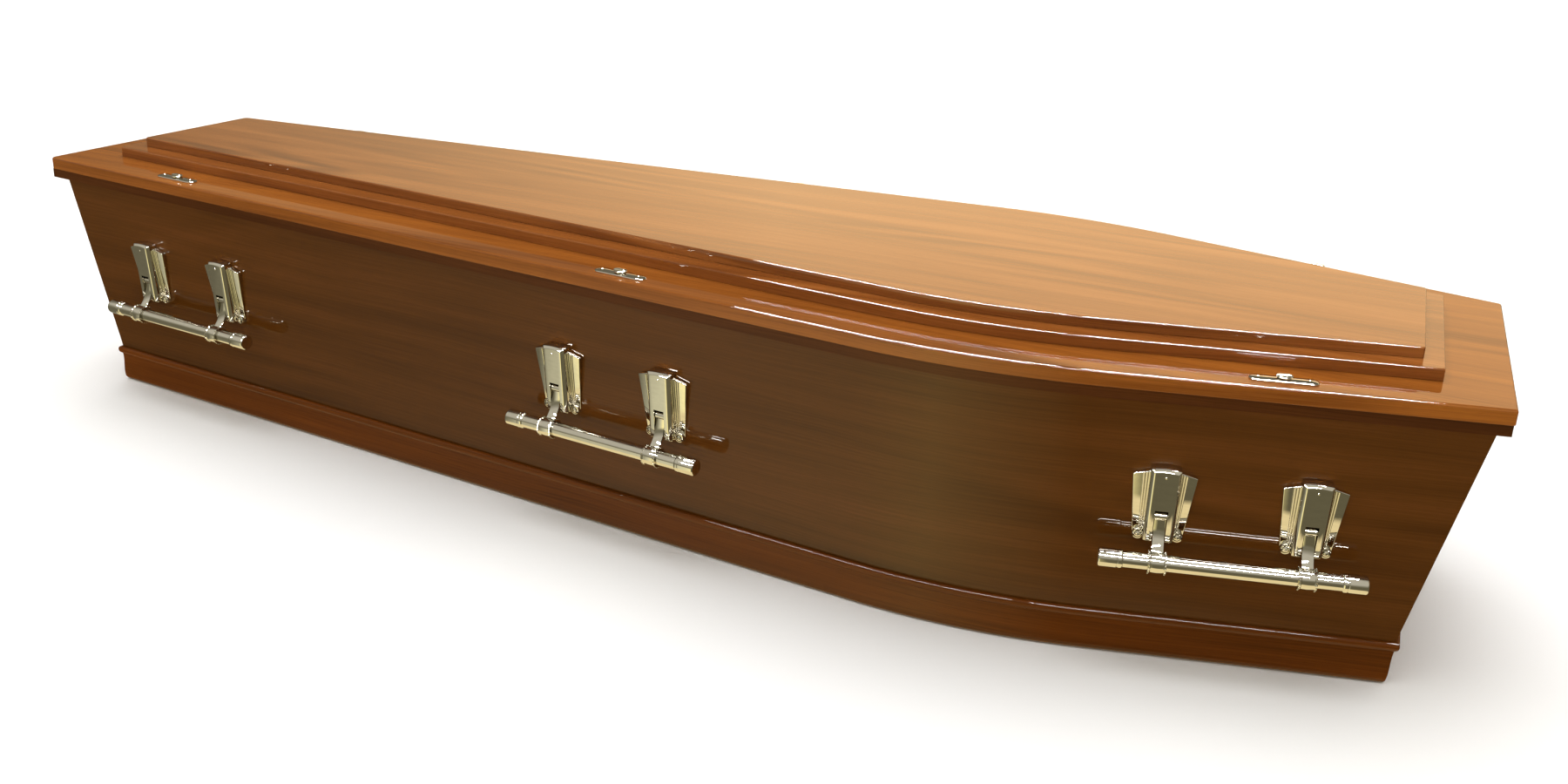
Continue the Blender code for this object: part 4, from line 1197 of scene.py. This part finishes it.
def handle_bar(sizes):
    """Round bar with grooved sleeves on its ends, lying along X."""
    half = sizes.bar_length / 2
    start = half - sizes.sleeve_length
    outer = sizes.sleeve_radius
    # radius as a share of the sleeve's, and place past its start: a round shoulder and a groove
    sleeve = ((0.93, -0.0002), (0.985, 0.0006), (1, 0.0016), (1, 0.0040), (0.955, 0.0046), (0.955, 0.0054),
              (1, 0.0060))
    end = [(sizes.bar_radius, start - 0.0008), *((outer * share, start + past) for share, past in sleeve),
           (outer, half - 0.0020), (outer * 0.985, half - 0.0012), (outer * 0.94, half - 0.0004),
           (outer * 0.88, half)]
    mesh = turned([(radius, -place) for radius, place in reversed(end)] + end)
    mesh.transform(Matrix.Rotation(math.pi / 2, 4, "Y"))
    return mesh


class COFFIN_OT_handles(bpy.types.Operator):
    """Make the arms and the bar of each of the six handles"""
    bl_idname = "coffin.make_handles"
    bl_label = "Handle arms and bars"

    def execute(self, context):
        plan = context.scene.coffin_plan
        sizes = context.scene.coffin_handles
        metal = plating(context.scene.coffin_finish)
        arm = handle_arm(sizes, metal)
        bar = handle_bar(sizes)
        for tag, wall in handle_frames(plan, sizes).items():
            hinge = wall @ Matrix.Translation((0, 0, sizes.pin_out))
            arms = set_out(arm, [hinge @ offset for offset in both_plates(sizes)], metal)
            put("handle_arms_" + tag, arms, "handle_" + tag, metal,
                [f"handle_arm_{tag}_{number}" for number in (1, 2)])
            mesh = bar.copy()
            mesh.transform(hinge @ Matrix.Translation((0, -sizes.bar_drop, sizes.bar_out - sizes.pin_out)))
            put("handle_grip_" + tag, mesh, "handle_" + tag, metal, ["handle_bar_" + tag])
        return {"FINISHED"}


def lay_floor(studio):
    """Matt painted floor."""
    mesh = bpy.data.meshes.new("studio_floor")
    corners = rectangle(FLOOR_REACH, -FLOOR_REACH, FLOOR_REACH)
    mesh.from_pydata([(x, y, -FLOOR_DROP) for x, y in corners], [], [(0, 1, 2, 3)])
    floor = hold("studio_floor", mesh)
    material, tree, shader = new_material("matt_painted_floor")
    place = add(tree, "ShaderNodeTexCoord", out="Object")
    # blotches a third of a metre wide
    speck = add(tree, "ShaderNodeTexNoise", {"Vector": place, "Scale": 3.0, "Detail": 2.0})
    shade = [share * 0.985 for share in studio.floor]
    tone = add(tree, "ShaderNodeMix", {0: speck, 6: (*studio.floor, 1.0), 7: (*shade, 1.0)},
               data_type="RGBA", out=2)
    wire(shader, {"Base Color": tone, "Roughness": 0.9, "Specular IOR Level": 0.0})
    mesh.materials.append(material)
    floor.visible_glossy = False


def paint_room(scene):
    """Tones of the room by direction, for the lacquer and the metal to mirror.

    Behind the far side is a bright wall under a dim ceiling, in front a dark wall under a pale ceiling. The
    floor pales toward the foot end and is cream close by. The camera itself sees plain white."""
    world = bpy.data.worlds.new("studio_room")
    scene.world = world
    world.use_nodes = True
    tree = world.node_tree
    way = add(tree, "ShaderNodeTexCoord", out="Generated")
    across, depth, up = add(tree, "ShaderNodeSeparateXYZ", (way,)).node.outputs
    place = add(tree, "ShaderNodeMapRange", (across, -1.0, 1.0))
    height = add(tree, "ShaderNodeMapRange", (up, -1.0, 1.0))
    slant = add(tree, "ShaderNodeMath", (across, -0.2, up), operation="MULTIPLY_ADD")
    rows = {}
    for label, factor, stops in (
            ("near", height, ((0.55, "#6A6656"), (0.68, "#A39F93"))),
            ("far", place, ((0.12, "#4C5043"), (0.30, "#FFDCA6"), (0.58, "#FBD6A0"), (0.76, "#8A7C62"))),
            ("low", place, ((0.095, "#5C5848"), (0.21, "#B9B59A"), (0.38, "#FFF0A8"), (0.60, "#57523F")))):
        tones = [(stop, linear(code)) for stop, code in stops]
        rows[label] = add(tree, "ShaderNodeValToRGB", (factor,), tones)
    ceiling, close, white = ((*linear(code), 1.0) for code in ("#5C574B", "#D2C193", "#FFFFFF"))
    # each tone covers the ones before it, from a start to an end in its direction
    room = rows["far"]
    for factor, start, end, colour in (
            (slant, 0.374, 0.392, ceiling), (depth, 0.2, -0.2, rows["near"]),
            (up, 0.02, -0.06, rows["low"]), (up, -0.60, -0.64, close)):
        share = add(tree, "ShaderNodeMapRange", (factor, start, end))
        room = add(tree, "ShaderNodeMix", {0: share, 6: room, 7: colour}, data_type="RGBA", out=2)
    seen = add(tree, "ShaderNodeLightPath", out="Is Camera Ray")
    room = add(tree, "ShaderNodeMix", {0: seen, 6: room, 7: white}, data_type="RGBA", out=2)
    wire(tree.nodes["Background"], {"Color": room, "Strength": scene.coffin_studio.room})


def hang_lights(studio):
    """Two rows of ceiling tubes, which show only as highlights, and a soft light from above."""
    # place along and across the coffin, length, and share of the tubes' full strength
    for name, x, y, length, share in (
            ("tubes_over_head", 1.15, -0.15, 1.2, 1.0), ("tubes_over_foot", -0.42, -0.15, 1.7, 1.0),
            ("tubes_front_head", 1.60, -2.8, 1.6, 0.6), ("tubes_front_foot", -0.80, -2.8, 2.8, 0.6)):
        tube = bpy.data.lights.new(name, "AREA")
        tube.shape = "RECTANGLE"
        tube.size = length
        tube.size_y = TUBE_WIDTH
        tube.energy = share * studio.tubes * math.pi * length * TUBE_WIDTH
        holder = hold(name, tube)
        holder.location = (x, y, TUBE_HEIGHT)
        holder.visible_diffuse = False
    soft = bpy.data.lights.new("soft_sky", "SUN")
    soft.angle = math.radians(70)
    soft.energy = studio.soft_sky
    holder = hold("soft_sky", soft)
    holder.rotation_euler = (math.radians(-12), math.radians(-6), 0)
    holder.visible_glossy = False


def set_camera(scene):
    """Camera at the photo's angle, as fitted to corners read from it."""
    lens = bpy.data.cameras.new("camera")
    lens.sensor_width = 36
    lens.lens = 31.6824
    lens.shift_x = -0.05746
    lens.shift_y = -0.05343
    camera = hold("camera", lens)
    camera.location = (0.8135, -1.5835, 0.8180)
    camera.rotation_euler = [math.radians(angle) for angle in (71.66418, -3.08584, 21.16407)]
    scene.camera = camera


class COFFIN_OT_studio(bpy.types.Operator):
    """Make the floor, the lights and the camera"""
    bl_idname = "coffin.make_studio"
    bl_label = "Studio"

    def execute(self, context):
        scene = context.scene
        lay_floor(scene.coffin_studio)
        paint_room(scene)
        hang_lights(scene.coffin_studio)
        set_camera(scene)
        scene.view_settings.view_transform = "Standard"
        return {"FINISHED"}


MAKERS = (COFFIN_OT_box, COFFIN_OT_moulding, COFFIN_OT_lid, COFFIN_OT_screws, COFFIN_OT_plates,
          COFFIN_OT_handles, COFFIN_OT_studio)
GROUPS = {"coffin_plan": CoffinPlan, "coffin_lid": CoffinLid, "coffin_moulding": CoffinMoulding,
          "coffin_screws": CoffinScrews, "coffin_handles": CoffinHandles, "coffin_finish": CoffinFinish,
          "coffin_studio": CoffinStudio}


class COFFIN_PT_pieces(bpy.types.Panel):
    """Lists the pieces and the sizes"""
    bl_idname = "COFFIN_PT_pieces"
    bl_label = "Coffin"
    bl_space_type = "VIEW_3D"
    bl_region_type = "UI"
    bl_category = "Coffin"

    def draw(self, context):
        for maker in MAKERS:
            self.layout.operator(maker.bl_idname)
        for name, group in GROUPS.items():
            box = self.layout.box()
            box.label(text=group.__doc__)
            for field in group.__annotations__:
                box.prop(getattr(context.scene, name), field)


def register():
    """Register the groups, the makers and the panel."""
    for name, group in GROUPS.items():
        bpy.utils.register_class(group)
        setattr(bpy.types.Scene, name, PointerProperty(type=group))
    for maker in (*MAKERS, COFFIN_PT_pieces):
        bpy.utils.register_class(maker)


def unregister():
    """Take the panel, the makers and the groups out again."""
    for maker in reversed((*MAKERS, COFFIN_PT_pieces)):
        bpy.utils.unregister_class(maker)
    for name, group in GROUPS.items():
        delattr(bpy.types.Scene, name)
        bpy.utils.unregister_class(group)


def main():
    """Build every piece, the floor, the lights and the camera."""
    register()
    bpy.ops.coffin.make_box()
    bpy.ops.coffin.make_moulding()
    bpy.ops.coffin.make_lid()
    bpy.ops.coffin.make_screws()
    bpy.ops.coffin.make_plates()
    bpy.ops.coffin.make_handles()
    bpy.ops.coffin.make_studio()
    bpy.context.view_layer.update()


if __name__ == "__main__":
    main()
